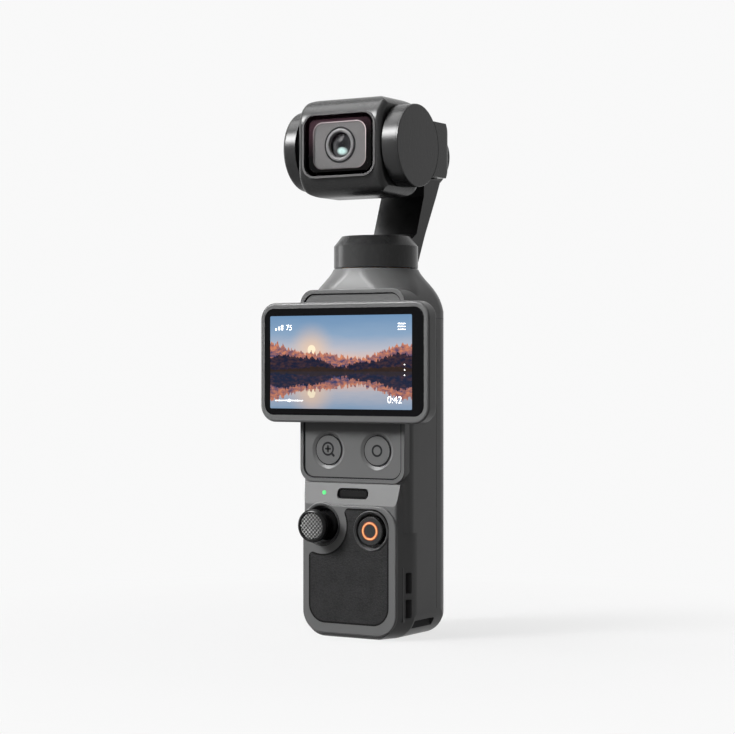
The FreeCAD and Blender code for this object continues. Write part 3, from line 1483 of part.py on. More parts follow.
def optics():
    front = -d.tilt_forward - d.head_half_depth
    frame_front = front - d.window_frame_proud
    frame_back = front + d.window_frame_depth
    glass_back = front + d.window_thickness
    mask_back = frame_back + d.mask_thickness
    x, _, z = lens_centre
    frame = block("window_frame", "Y", frame_front, frame_back, window_loop(d.window_frame_width))
    prism(frame, "Y", frame_front, glass_back, window_loop(0), cut=True)
    prism(frame, "Y", frame_front, frame_back, window_loop(-d.window_ledge), cut=True)
    node(frame)
    node(block("window_glass", "Y", front, glass_back, window_loop(0)))
    mask = block("lens_mask", "Y", frame_back, mask_back, window_loop(-d.window_frame_width))
    centre_x = -d.window_left
    prism(mask, "Y", frame_back - d.mask_pad_height, frame_back, rounded(
        centre_x - d.mask_pad_half_width, centre_x + d.mask_pad_half_width, z - d.mask_pad_half_height,
        z + d.mask_pad_half_height, d.mask_pad_corner))
    prism(mask, "Y", frame_back - d.mask_pad_height, mask_back, disc(x, z, d.lens_ring_radius), cut=True)
    node(mask)
    pad_front = frame_back - d.mask_pad_height
    node(turned("lens_ring", "Y", lens_centre, [
        (pad_front, d.lens_ring_radius - d.lens_ring_edge), (pad_front, d.lens_ring_radius),
        (mask_back, d.lens_ring_radius), (mask_back, d.lens_ring_bore)]))
    node(ring("lens_barrel", "Y", lens_centre, mask_back, -d.barrel_back, d.barrel_bore, d.barrel_radius))
    dome = ball("front_lens_dome", (x, mask_back + d.element_dome - d.mask_thickness, z), d.element_dome)
    core = rod("front_lens_core", "Y", lens_centre, pad_front, mask_back + d.element_thickness,
               d.lens_ring_bore)
    seat = ring("front_lens_seat", "Y", lens_centre, mask_back, mask_back + d.element_thickness,
                d.lens_ring_bore / 2, d.barrel_bore)
    front_lens = common("front_lens", fuse("front_lens_blank", core, seat), dome)
    rear_lens = rod("rear_lens", "Y", lens_centre, -d.rear_element_front,
                    -d.rear_element_front + d.rear_element_thickness, d.barrel_bore)
    node(compound("lens_elements", [front_lens, rear_lens]))
    sensor_back = -d.barrel_back + d.sensor_thickness
    chip = block("image_chip", "Y", -d.barrel_back, sensor_back, box(
        x - d.sensor_half_width, x + d.sensor_half_width, z - d.sensor_half_height, z + d.sensor_half_height))
    board = block("chip_board", "Y", sensor_back, sensor_back + d.sensor_thickness, box(
        x - d.sensor_board_half_width, x + d.sensor_board_half_width, z - d.sensor_board_half_height,
        z + d.sensor_board_half_height))
    node(fuse("image_sensor", chip, board))


# Assembly


def build():
    _, deck_pocket = deck_panel()
    _, grip_inlay = grip_panel()
    shells(deck_pocket, grip_inlay)
    for piece in (speaker_grille, status_light, stick_collar, record_well, control_board, board_screws,
                  switch_domes, battery, main_board, card_reader, speaker, port_socket,
                  stick_base, stick_yoke, stick_post, stick_cap, buttons, display, hinge):
        piece()
    arm(pan_joint())
    bracket()
    roll_joint()
    tilt_motor()
    head_shells()
    optics()
    doc.recompute()


def check():
    for thing in doc.Objects:
        if "Invalid" in thing.State or "Error" in thing.State:
            raise RuntimeError(f"{thing.Label} did not compute: {thing.State}")
    for piece in nodes:
        shape = piece.Shape
        if shape.isNull() or not shape.isValid() or not shape.Solids:
            raise RuntimeError(f"{piece.Label} has no valid solid")
        print(f"{piece.Label}: {len(shape.Solids)} solids, {shape.Volume:.1f} mm3")


build()
check()
os.makedirs("parts", exist_ok=True)
for piece in nodes:
    piece.Shape.exportStep(f"parts/{piece.Label}.step")
print(len(nodes), "nodes written")
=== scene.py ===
import json
import math

import bpy
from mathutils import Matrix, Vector


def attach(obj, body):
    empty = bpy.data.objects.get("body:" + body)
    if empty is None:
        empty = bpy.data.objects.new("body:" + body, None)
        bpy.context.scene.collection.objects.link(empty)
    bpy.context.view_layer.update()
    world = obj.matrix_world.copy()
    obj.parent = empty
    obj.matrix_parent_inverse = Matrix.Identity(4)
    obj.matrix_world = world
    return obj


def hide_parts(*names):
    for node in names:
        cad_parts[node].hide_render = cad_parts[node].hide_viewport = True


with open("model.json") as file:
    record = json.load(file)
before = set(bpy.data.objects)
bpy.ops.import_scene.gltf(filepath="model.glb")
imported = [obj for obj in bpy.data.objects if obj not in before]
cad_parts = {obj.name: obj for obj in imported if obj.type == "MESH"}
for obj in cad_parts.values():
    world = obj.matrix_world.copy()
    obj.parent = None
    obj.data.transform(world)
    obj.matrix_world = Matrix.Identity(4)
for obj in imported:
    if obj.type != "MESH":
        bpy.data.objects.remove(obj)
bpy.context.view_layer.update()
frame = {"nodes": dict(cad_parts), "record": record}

bpy.ops.object.select_all(action="DESELECT")
mm = 0.001
weld = 0.001        # corners nearer than this, in millimetres, are made one
black = (0, 0, 0, 1)
white = (1, 1, 1, 1)


# Shader sums written as plain arithmetic

class Wire:
    def __init__(self, finish, socket):
        self.finish = finish
        self.socket = socket

    def math(self, operation, *values):
        return self.finish.add("ShaderNodeMath", {"operation": operation}, dict(enumerate(values)))

    def __add__(self, other):
        return self.math("ADD", self, other)

    def __radd__(self, other):
        return self.math("ADD", other, self)

    def __sub__(self, other):
        return self.math("SUBTRACT", self, other)

    def __rsub__(self, other):
        return self.math("SUBTRACT", other, self)

    def __mul__(self, other):
        return self.math("MULTIPLY", self, other)

    def __rmul__(self, other):
        return self.math("MULTIPLY", other, self)

    def __truediv__(self, other):
        return self.math("DIVIDE", self, other)

    def __lt__(self, other):
        return self.math("LESS_THAN", self, other)

    def __gt__(self, other):
        return self.math("GREATER_THAN", self, other)

    def __pow__(self, other):
        return self.math("POWER", self, other)

    def least(self, other):
        return self.math("MINIMUM", self, other)

    def most(self, other):
        return self.math("MAXIMUM", self, other)

    def size(self):
        return self.math("ABSOLUTE", self)

    def sine(self):
        return self.math("SINE", self)

    def fold(self, reach):
        # Runs from 0 up to reach and back, again and again
        return self.math("PINGPONG", self, reach)

    def step(self, low, high):
        # 0 below low and 1 above high, smooth between them
        settings = {"interpolation_type": "SMOOTHSTEP"}
        return self.finish.add("ShaderNodeMapRange", settings, {0: self, 1: low, 2: high})


class Finish:
    # A material: fixed values go on its shader, and add() makes any other node.
    def __init__(self, name, **fixed):
        self.material = bpy.data.materials.new(name)
        self.material.use_nodes = True
        self.tree = self.material.node_tree
        self.shader = self.tree.nodes["Principled BSDF"]
        for socket, value in fixed.items():
            self.shader.inputs[socket.replace("_", " ")].default_value = value

    def add(self, kind, settings, sockets, output=0):
        made = self.tree.nodes.new(kind)
        for name, value in settings.items():
            if name == "stops":
                while len(made.color_ramp.elements) < len(value):
                    made.color_ramp.elements.new(0.5)
                for stop, (place, colour) in zip(made.color_ramp.elements, value):
                    stop.position = place
                    stop.color = (*colour, 1)
            else:
                setattr(made, name, value)
        for name, value in sockets.items():
            if isinstance(value, Wire):
                self.tree.links.new(value.socket, made.inputs[name])
            else:
                made.inputs[name].default_value = value
        return Wire(self, made.outputs[output])

    def feed(self, **sockets):
        for name, wire in sockets.items():
            self.tree.links.new(wire.socket, self.shader.inputs[name.replace("_", " ")])

    def place(self):
        return self.add("ShaderNodeTexCoord", {}, {}, "Object")

    def axes(self):
        # The three coordinates in millimetres
        split = self.add("ShaderNodeSeparateXYZ", {}, {0: self.place()}).socket.node
        return [Wire(self, split.outputs[k]) / mm for k in range(3)]

    def noise(self, size, detail=3, rough=0.55, stretch=(1, 1, 1)):
        # Soft blotches whose width is about size, in millimetres
        moved = self.add("ShaderNodeMapping", {}, {"Vector": self.place(), "Scale": stretch})
        sockets = {"Vector": moved, "Scale": 1 / (size * mm), "Detail": detail, "Roughness": rough}
        return self.add("ShaderNodeTexNoise", {}, sockets)

    def patches(self, size, detail, swing, level):
        # Noise that rises by up to swing above a level
        return self.noise(size, detail) * swing + level

    def cells(self, size, feature):
        sockets = {"Vector": self.place(), "Scale": 1 / (size * mm)}
        return self.add("ShaderNodeTexVoronoi", {"feature": feature}, sockets)

    def blend(self, share, first, second):
        return self.add("ShaderNodeMix", {"data_type": "RGBA"}, {0: share, 6: first, 7: second}, 2)

    def relief(self, height, depth):
        # A bump that stands depth millimetres high where height is 1
        sockets = {"Height": height, "Distance": depth * mm, "Strength": 1.0}
        return self.add("ShaderNodeBump", {}, sockets)


def shade(colour, factor):
    return (*[min(1, part * factor) for part in colour], 1)


def distance(x, z, centre):
    # From a centre, in the plane of the front
    return ((x - centre[0]) ** 2 + (z - centre[1]) ** 2) ** 0.5


def slope(across, up, row):
    return across * row["across"] + up * row["up"] + row["level"]


def roundBox(x, z, box):
    # Signed distance from a rectangle with round corners, in the plane of the front
    acrossOut = (x - box["centre"][0]).size() - (box["half"][0] - box["corner"])
    upOut = (z - box["centre"][1]).size() - (box["half"][1] - box["corner"])
    outside = (acrossOut.most(0.0) ** 2 + upOut.most(0.0) ** 2) ** 0.5
    return outside + acrossOut.most(upOut).least(0.0) - box["corner"]


# Steps that the pieces share, with all places and sizes in millimetres

def startEdit():
    bpy.ops.object.mode_set(mode="EDIT")
    bpy.ops.mesh.select_all(action="SELECT")


def startSheet(place, size, turn):
    # A flat rectangle, open for editing
    bpy.ops.object.select_all(action="DESELECT")
    bpy.ops.mesh.primitive_plane_add(size=1, location=[part * mm for part in place], rotation=turn)
    bpy.context.object.scale = (size[0] * mm, size[1] * mm, 1)
    bpy.ops.object.transform_apply(location=False, rotation=False, scale=True)
    startEdit()


def startDisc(centre, radius, place, sides, fill="NGON"):
    # A disc or a bare circle that faces -Y, open for editing
    bpy.ops.object.select_all(action="DESELECT")
    bpy.ops.mesh.primitive_circle_add(vertices=sides, radius=radius * mm, fill_type=fill,
                                      location=(centre[0] * mm, place * mm, centre[1] * mm),
                                      rotation=(math.pi / 2, 0, 0))
    startEdit()


def roundCorners(radius, segments):
    bpy.ops.mesh.bevel(offset=radius * mm, segments=segments, affect="VERTICES")
    bpy.ops.mesh.select_all(action="SELECT")


def keepBorder(width):
    bpy.ops.mesh.inset(thickness=width * mm)
    bpy.ops.mesh.delete(type="FACE")
    bpy.ops.mesh.select_all(action="SELECT")


def pull(x, y, z):
    bpy.ops.mesh.extrude_region_move(TRANSFORM_OT_translate={"value": (x * mm, y * mm, z * mm)})


def endEdit():
    bpy.ops.object.mode_set(mode="OBJECT")
    return bpy.context.object


def turnedForm(centre, stations, sides, hollow=False):
    # Pulls a disc along Y through (radius, place) stations, or a loop that closes on itself
    radius, place = stations[0]
    startDisc(centre, radius, place, sides, "NOTHING" if hollow else "NGON")
    for nextRadius, nextPlace in stations[1:] + (stations[:1] if hollow else []):
        pull(0, nextPlace - place, 0)
        ratio = nextRadius / radius
        bpy.ops.transform.resize(value=(ratio, 1, ratio),
                                 center_override=(centre[0] * mm, nextPlace * mm, centre[1] * mm))
        radius, place = nextRadius, nextPlace
    return endEdit()


def plateForm(left, right, low, high, corner, place, thick, width=0, segments=8):
    # A plate with round corners facing -Y, or with a width only its border
    startSheet(((left + right) / 2, place, (low + high) / 2), (right - left, high - low), (math.pi / 2, 0, 0))
    roundCorners(corner, segments)
    if width:
        keepBorder(width)
    pull(0, thick, 0)
    return endEdit()


def ringForm(centre, radius, width, place, thick, sides):
    startDisc(centre, radius, place, sides)
    keepBorder(width)
    pull(0, thick, 0)
    return endEdit()


def joined(parts):
    bpy.ops.object.select_all(action="DESELECT")
    for part in parts:
        part.select_set(True)
    bpy.context.view_layer.objects.active = parts[0]
    bpy.ops.object.join()


def endPiece(name, body, finish, angle=35):
    # Closes the active piece: normals out, place in the mesh, smooth, and fixed to its body
    startEdit()
    bpy.ops.mesh.remove_doubles(threshold=weld * mm)
    bpy.ops.mesh.normals_make_consistent(inside=False)
    bpy.ops.object.mode_set(mode="OBJECT")
    bpy.ops.object.transform_apply(location=True, rotation=True, scale=True)
    bpy.ops.object.shade_smooth_by_angle(angle=math.radians(angle))
    made = bpy.context.object
    made.name = name
    made.data.materials.clear()
    made.data.materials.append(finishes[finish])
    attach(made, body)
    bpy.ops.object.select_all(action="DESELECT")
    return made


# Thumb stick: a knurled insert inside a rounded rim, on a black stepped skirt

stick = {
    "centre": (-8.46, 30.0),
    "rim": [(3.25, -19.1), (3.32, -19.2), (3.45, -19.42), (3.75, -19.6), (4.1, -19.52), (4.36, -19.25),
            (4.45, -18.9), (4.45, -18.3), (4.3, -17.85), (3.95, -17.55), (3.5, -17.4), (3.3, -17.0),
            (3.3, -16.3), (3.05, -16.1), (3.05, -15.2), (2.8, -15.0), (2.8, -13.7), (3.0, -13.25),
            (3.4, -12.92), (3.8, -12.57), (4.1, -12.26), (4.3, -12.02), (4.2, -12.0)],
    "rimSides": 72,
    "knurlSpan": 9.5, "knurlCount": 12, "knurlRadius": 4.05, "knurlFront": -19.38, "knurlDepth": 0.26,
    # The brightness of the lines and crossings, and the slope that brightens the left, are painted highlight
    # on the knurl
    "lineEdge": (0.08, 0.24), "knotEdge": (0.1, 0.34), "lineLight": 0.17, "knotLight": 0.22, "fade": 0.03,
    "tones": ((0.004, 0.004, 0.004, 1), (0.8, 0.8, 0.79, 1)), "metallic": 0.5, "rough": 0.5, "polish": 0.2,
}


def knurled(name):
    # Light lines over dark cells, on the same diamonds as the mesh: the lines and their crossings are a
    # painted highlight on the ridges, and the brightening to the left is painted light
    made = Finish(name)
    x, y, z = made.axes()
    across = x - stick["centre"][0]
    up = z - stick["centre"][1]
    perDiamond = math.sqrt(0.5) * stick["knurlCount"] / stick["knurlSpan"]
    along = ((across + up) * perDiamond).fold(0.5)
    over = ((up - across) * perDiamond).fold(0.5)
    line = 1 - along.least(over).step(*stick["lineEdge"])
    knot = 1 - along.most(over).step(*stick["knotEdge"])
    # Painted light: the knurl is drawn brighter to the left
    fade = across * stick["fade"]
    # Painted highlight on the ridges and where they cross
    paintedShine = line * (stick["lineLight"] - fade) + knot * (stick["knotLight"] - fade)
    made.feed(Base_Color=made.blend(paintedShine, *stick["tones"]),
              Metallic=line * stick["metallic"], Roughness=stick["rough"] - line * stick["polish"])
    return made.material


def makeStick():
    centre = stick["centre"]
    turnedForm(centre, stick["rim"], stick["rimSides"])
    rim = endPiece("stick_rim", "stick_cap", "stick_rubber")
    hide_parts("stick_cap")
    count = stick["knurlCount"]
    bpy.ops.mesh.primitive_grid_add(x_subdivisions=count, y_subdivisions=count, size=stick["knurlSpan"] * mm,
                                    location=(centre[0] * mm, stick["knurlFront"] * mm, centre[1] * mm),
                                    rotation=(math.pi / 2, math.pi / 4, 0))
    startEdit()
    bpy.ops.mesh.poke(offset=-stick["knurlDepth"] * mm)
    knurl = endEdit()
    for corner in knurl.data.vertices:
        corner.select = math.hypot(corner.co.x, corner.co.y) > stick["knurlRadius"] * mm
    for part in [*knurl.data.edges, *knurl.data.polygons]:
        part.select = False
    bpy.ops.object.mode_set(mode="EDIT")
    bpy.ops.mesh.select_mode(type="VERT")
    bpy.ops.mesh.delete(type="VERT")
    endPiece("stick_knurl", "stick_cap", "knurl_metal", angle=10)


# Display: a lit picture of made-up hills over water

screen = {"left": -23.0, "right": 21.3, "low": 61.2, "high": 86.1, "corner": 0.35,
          "place": -17.36, "thick": 0.005}

hills = {
    "shore": 0.4, "shoreEdge": 0.004, "ripple": 0.7, "rippleStretch": (0.18, 1, 1.6), "rippleSwing": 0.06,
    "sky": [(0.0, (0.72, 0.4, 0.28)), (0.16, (0.78, 0.52, 0.42)), (0.34, (0.5, 0.5, 0.56)),
            (0.6, (0.25, 0.37, 0.53)), (1.0, (0.12, 0.25, 0.44))],
    "skyReach": 1.5, "cloud": 5, "cloudStretch": (0.35, 1, 1.8), "cloudSwing": 0.16,
    # level, swing, waves, shift and rough ground of each line of hills
    "far": (0.23, 0.075, 0.8, 0.32, 0.15),
    "near": (0.12, 0.055, 1.3, 0.05, 0.1),
    "bank": (0.035, 0.014, 1.9, 0.6, 0.05),
    "shortWave": 2.7, "shortSwing": 0.3, "groundScale": 9, "groundShift": 7, "edge": 0.004, "bankEdge": 0.003,
    "slope": 1.1, "slopeStretch": (0.7, 1, 1.3),
    "farLight": {"slopes": 1.6, "height": 0.35, "level": -0.55, "edge": (0.15, 0.85)},
    "nearLight": {"slopes": 1.5, "level": -0.45, "edge": (0.1, 0.9)},
    "farTones": ((0.035, 0.05, 0.14, 1), (0.7, 0.25, 0.12, 1)),
    "nearTones": ((0.008, 0.012, 0.035, 1), (0.12, 0.05, 0.035, 1)),
    "bankTones": ((0.012, 0.01, 0.012, 1), (0.05, 0.026, 0.018, 1)),
    "sun": (0.3, 0.235), "aspect": 1.78, "sunEdge": (0.045, 0.055), "sunTone": (1.0, 0.86, 0.62, 1),
    "glowReach": 0.33, "glow": 0.6, "glowTone": (0.95, 0.62, 0.36, 1),
    "waterShare": 0.16, "waterTone": (0.02, 0.05, 0.11, 1),
    "unlit": 0.02,      # how much of the picture shows when the display is off
}


def ridge(made, across, level, swing, waves, shift, rough):
    # The height of a line of hills, as one long wave, one short wave and some rough ground
    slow = ((across * waves + shift) * math.tau).sine()
    fast = ((across * waves * hills["shortWave"] + shift) * math.tau).sine()
    ground = made.add("ShaderNodeTexNoise", {"noise_dimensions": "1D"}, {
        "W": across * hills["groundScale"] + shift * hills["groundShift"], "Detail": 6, "Roughness": 0.6})
    return slow * swing + fast * swing * hills["shortSwing"] + (ground - 0.5) * rough + level


def picture(name):
    # Dusk sky over three lines of rough hills and their water, all from the place on the screen
    made = Finish(name, Emission_Strength=1.0, Roughness=0.25, Specular_IOR_Level=0.04)
    x, y, z = made.axes()
    across = (x - screen["left"]) / (screen["right"] - screen["left"])
    up = (z - screen["low"]) / (screen["high"] - screen["low"])
    shore, edge = hills["shore"], hills["shoreEdge"]
    ripple = made.noise(hills["ripple"], 3, 0.6, hills["rippleStretch"]) - 0.5
    water = 1 - up.step(shore - edge, shore + edge)
    rise = (up - shore).size() + water * ripple * hills["rippleSwing"]
    cloud = made.noise(hills["cloud"], 5, 0.6, hills["cloudStretch"]) - 0.5
    skyHeight = rise * hills["skyReach"] + cloud * hills["cloudSwing"]
    scene = made.add("ShaderNodeValToRGB", {"stops": hills["sky"]}, {0: skyHeight})
    sunAway = (((across - hills["sun"][0]) * hills["aspect"]) ** 2 + (rise - hills["sun"][1]) ** 2) ** 0.5
    glow = (1 - sunAway.step(0.0, hills["glowReach"])) * hills["glow"]
    scene = made.blend(glow, scene, hills["glowTone"])
    scene = made.blend(1 - sunAway.step(*hills["sunEdge"]), scene, hills["sunTone"])
    slopes = made.noise(hills["slope"], 5, 0.65, hills["slopeStretch"])
    far = ridge(made, across, *hills["far"])
    near = ridge(made, across, *hills["near"])
    bank = ridge(made, across, *hills["bank"])
    light = hills["farLight"]
    farLit = slopes * light["slopes"] + (rise / far) * light["height"] + light["level"]
    farLit = farLit.step(*light["edge"])
    light = hills["nearLight"]
    nearLit = (slopes * light["slopes"] + light["level"]).step(*light["edge"])
    for line, lit, tones, soft in ((far, farLit, hills["farTones"], hills["edge"]),
                                   (near, nearLit, hills["nearTones"], hills["edge"]),
                                   (bank, slopes, hills["bankTones"], hills["bankEdge"])):
        scene = made.blend(1 - (rise - line).step(-soft, soft), scene, made.blend(lit, *tones))
    scene = made.blend(water * hills["waterShare"], scene, hills["waterTone"])
    made.feed(Base_Color=made.blend(hills["unlit"], black, scene), Emission_Color=scene)
    return made.material


# Display marks: a list mark, rising bars, a line with a knob, dots and plain numbers

marks = {
    "place": -17.375, "thick": 0.004,
    "list": {"left": 17.0, "right": 19.4, "low": 83.55, "tall": 0.3, "gap": 0.75, "count": 3,
             "corner": 0.12},
    "bars": {"left": -21.4, "width": 0.6, "gap": 1.0, "low": 82.3, "heights": (0.5, 0.95, 1.4),
             "corner": 0.05},
    "line": (-21.4, -12.4, 63.2, 63.5, 0.12),
    "knob": (-17.3, -16.5, 62.95, 63.75, 0.39),
    "dots": {"left": 18.9, "low": 70.0, "size": 0.4, "gap": 1.4, "count": 3, "corner": 0.19},
    # text, left, low and height
    "words": (("0:42", 13.8, 62.9, 1.9), ("75", -17.9, 82.3, 1.45)),
    "typeSize": 1.4,    # size of the type for each millimetre of height
}


def makeScreen():
    plateForm(screen["left"], screen["right"], screen["low"], screen["high"], screen["corner"],
              screen["place"], screen["thick"])
    endPiece("screen_picture", "display", "screen_picture")
    rows = []
    listMark = marks["list"]
    for k in range(listMark["count"]):
        low = listMark["low"] - k * listMark["gap"]
        rows.append((listMark["left"], listMark["right"], low, low + listMark["tall"], listMark["corner"]))
    bars = marks["bars"]
    for k, height in enumerate(bars["heights"]):
        left = bars["left"] + k * bars["gap"]
        rows.append((left, left + bars["width"], bars["low"], bars["low"] + height, bars["corner"]))
    rows += [marks["line"], marks["knob"]]
    dots = marks["dots"]
    for k in range(dots["count"]):
        low = dots["low"] + k * dots["gap"]
        rows.append((dots["left"], dots["left"] + dots["size"], low, low + dots["size"], dots["corner"]))
    parts = [plateForm(*row, marks["place"], marks["thick"]) for row in rows]
    for text, left, low, height in marks["words"]:
        bpy.ops.object.select_all(action="DESELECT")
        bpy.ops.object.text_add(location=(left * mm, marks["place"] * mm, low * mm),
                                rotation=(math.pi / 2, 0, 0))
        words = bpy.context.object
        words.data.body = text
        words.data.size = height * mm * marks["typeSize"]
        words.data.extrude = marks["thick"] / 2 * mm
        bpy.ops.object.convert(target="MESH")
        bpy.ops.object.transform_apply(location=True, rotation=True, scale=True)
        parts.append(bpy.context.object)
    joined(parts)
    endPiece("screen_marks", "display", "mark_white")


# Buttons: dark edge lines as painted shade in the gap round each cap, a looking glass with a plus on one, and
# a plain ring on the other

caps = {
    "centres": {"zoom_button": (-7.6, 50.1), "custom_button": (7.6, 50.1)},
    "radius": 4.12, "edgeWidth": 0.26, "edgeSides": 72, "mark": -12.165, "thick": 0.01,
    "line": 0.54, "lineSides": 48,
    "ringRadius": 1.65,
    "glassRadius": 1.9, "glassPlace": (-0.2, 0.25),
    "handle": (1.35, 0.66), "handleAngle": 45, "handlePlace": (1.35, -1.3),
    "plus": (1.9, 0.5),
    "barCorner": 0.45,      # share of a bar's width
    "barSegments": 3,
}


def markRing(centre, radius):
    return ringForm(centre, radius, caps["line"], caps["mark"], caps["thick"], caps["lineSides"])


def markBar(centre, length, width, angle):
    startSheet((centre[0], caps["mark"], centre[1]), (length, width), (math.pi / 2, math.radians(angle), 0))
    roundCorners(width * caps["barCorner"], caps["barSegments"])
    pull(0, caps["thick"], 0)
    return endEdit()


def makeCapMarks():
    for body, (x, z) in caps["centres"].items():
        # Painted shade: a black ring over the gap round the cap
        ringForm((x, z), caps["radius"], caps["edgeWidth"], caps["mark"], caps["thick"], caps["edgeSides"])
        endPiece(body + "_edge", body, "line_black")
        if body == "zoom_button":
            middle = (x + caps["glassPlace"][0], z + caps["glassPlace"][1])
            handle = (x + caps["handlePlace"][0], z + caps["handlePlace"][1])
            long, wide = caps["plus"]
            parts = [markRing(middle, caps["glassRadius"]),
                     markBar(handle, *caps["handle"], caps["handleAngle"]),
                     markBar(middle, long, wide, 0),
                     markBar(middle, wide, long, 0)]
        else:
            parts = [markRing((x, z), caps["ringRadius"])]
        joined(parts)
        endPiece(body + "_mark", body, "line_black")


# Painted shade: black in the groove round the deck panel, on the walls of the slot, and in the gap round the
# stick collar

seams = {
    "deck": (-15.37, 15.37, 42.43, 92.17, 3.25), "deckPlace": -12.325, "deckWidth": 0.42, "deckSegments": 12,
    "slot": (-4.28, 5.38, 37.12, 39.98, 1.15), "slotPlace": -12.8, "slotDepth": 0.6, "slotWidth": 0.2,
    "collarRadius": 5.74, "collarWidth": 0.15, "collarPlace": -14.21, "collarSides": 96,
    "thick": 0.02,
}


def makeSeams():
    plateForm(*seams["deck"], seams["deckPlace"], seams["thick"], seams["deckWidth"],
              seams["deckSegments"])
    endPiece("deck_groove", "handle", "line_black")
    # Painted shade on the walls of the slot
    plateForm(*seams["slot"], seams["slotPlace"], seams["slotDepth"], seams["slotWidth"])
    endPiece("slot_lining", "handle", "line_black")
    ringForm(stick["centre"], seams["collarRadius"], seams["collarWidth"], seams["collarPlace"],
             seams["thick"], seams["collarSides"])
    endPiece("collar_line", "handle", "line_black")


# Joint between the shells: a fine line round the back of the handle at the top of the rear cover,
# and down both sides

joint = {"half": 16.765, "back": 12.915, "corner": 7.0, "segments": 16, "place": 3.8, "line": 0.1,
         "deep": 0.1, "top": 85.6, "foot": 7.4}


def makeShellJoint():
    line, top, foot = joint["line"], joint["top"], joint["foot"]
    startSheet((0, 0, top), (2 * joint["half"], 2 * joint["back"]), (0, 0, 0))
    roundCorners(joint["corner"], joint["segments"])
    keepBorder(joint["deep"])
    pull(0, 0, -line)
    bpy.ops.mesh.select_all(action="SELECT")
    bpy.ops.mesh.bisect(plane_co=(0, joint["place"] * mm, 0), plane_no=(0, 1, 0), use_fill=True,
                        clear_inner=True)
    parts = [endEdit()]
    for side in (-1, 1):
        startSheet((side * joint["half"], joint["place"] + line / 2, (top + foot) / 2),
                   (top - foot, line), (0, math.pi / 2, 0))
        pull(-side * joint["deep"], 0, 0)
        parts.append(endEdit())
    joined(parts)
    endPiece("cover_joint", "handle", "joint_shade")


# Notches at the foot: a black plate on the floor of each, as painted shade

notches = {"front": -7.48, "back": 3.18, "low": 2.92, "high": 4.98, "corner": 0.7, "segments": 6,
           "floor": 15.26, "thick": 0.02}


def makeNotchShade():
    middle = ((notches["front"] + notches["back"]) / 2, (notches["low"] + notches["high"]) / 2)
    size = (notches["high"] - notches["low"], notches["back"] - notches["front"])
    for side, name in ((-1, "notch_lining_left"), (1, "notch_lining_right")):
        # Painted shade: a black plate on the notch's floor
        startSheet((side * notches["floor"], *middle), size, (0, side * math.pi / 2, 0))
        roundCorners(notches["corner"], notches["segments"])
        pull(side * notches["thick"], 0, 0)
        endEdit()
        endPiece(name, "handle", "line_black")


# Record button: a well with a hollowed edge, and a half round ring

record = {
    "centre": (6.95, 28.9),
    "well": [(5.42, -14.2), (5.3, -14.4), (5.14, -14.44), (4.66, -14.08), (4.62, -12.4), (5.3, -12.4),
             (5.42, -13.9)],
    "wellSides": 96,
    "ring": [(1.7, -14.7), (1.77, -14.8), (1.93, -14.87), (2.13, -14.89), (2.33, -14.87), (2.49, -14.8),
             (2.56, -14.7)],
    "ringSides": 72,
    "paleEdge": (0.06, 0.34), "pale": (0.72, 0.33, 0.14, 1), "deep": (0.3, 0.045, 0.01, 1),
    "rough": (0.3, 2, 0.15, 0.22),
}


def litRing(name):
    # Deep orange at both edges, with a painted highlight as a pale stripe along the middle of the ring, and a
    # faint glow that is painted light too
    made = Finish(name, Emission_Strength=0.15, Specular_IOR_Level=0.2)
    x, y, z = made.axes()
    middle = (record["ring"][0][0] + record["ring"][-1][0]) / 2
    side = (distance(x, z, record["centre"]) - middle).size()
    # Painted highlight: pale along the middle of the ring, deep orange at its edges
    tone = made.blend(side.step(*record["paleEdge"]), record["pale"], record["deep"])
    made.feed(Base_Color=tone, Emission_Color=tone, Roughness=made.patches(*record["rough"]))
    return made.material


def makeRecord():
    turnedForm(record["centre"], record["well"], record["wellSides"], hollow=True)
    well = endPiece("record_bowl", "handle", "collar_grey", angle=40)
    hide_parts("record_well")
    turnedForm(record["centre"], record["ring"], record["ringSides"], hollow=True)
    ring = endPiece("record_halo", "record_button", "ring_orange", angle=60)
    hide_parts("record_ring")


# Lens: a rounded bezel behind the window, with a dark ring round it as painted shade

lens = {
    "centre": (-0.6, 131.3),
    "bezel": [(4.3, -17.5), (4.3, -17.66), (4.14, -17.75), (3.66, -17.75), (3.42, -17.62), (3.32, -17.3),
              (3.5, -17.24), (3.8, -17.4)],
    "sides": 96,
    "gapRadius": 4.85, "gapWidth": 0.5, "gapPlace": -17.57, "gapThick": 0.02,
    "deepTone": (0.014, 0.014, 0.016, 1),
    "bowlTone": (0.07, 0.07, 0.073, 1), "bowlOut": 0.32, "bowlEdge": (0.2, 1.2),
    "bowl": {"across": -0.1, "up": -0.05, "level": 0.12},
    "shadowTone": (0.012, 0.012, 0.013, 1), "shadowEdge": (0.9, 2.5), "shadowShare": 0.5,
    "glintPlace": (0.3, -1.6), "glintSqueeze": (0.62, 0.95), "glintEdge": (0.1, 1.3),
    "glintTone": (0.4, 0.55, 0.53, 1), "glintLight": (0.72, 0.92, 0.9, 1),
    "glintPatches": (0.9, 3, 0.6, 0.6), "rough": (0.5, 2, 0.05, 0.06),
}

window = {
    "centre": (-0.68, 131.28), "half": (8.28, 6.3), "corner": 2.9, "soft": 0.04,
    "clear": 0.04, "back": -17.95,
    "line": 0.24, "lineSoft": 0.05, "lineShare": 0.85,
    "lineLight": {"across": 0.03, "up": 0.06, "level": 0.45},
    "lineTones": ((0.08, 0.07, 0.072, 1), (0.6, 0.5, 0.52, 1)),
    "coating": {"across": -0.03, "up": 0.1, "level": 0.1}, "coatingPatches": (3, 2, 0.2, -0.1),
    "coatingTones": ((0.0012, 0.001, 0.0011, 1), (0.036, 0.017, 0.0235, 1)),
    "rough": (1.5, 3, 0.03, 0.05),
}


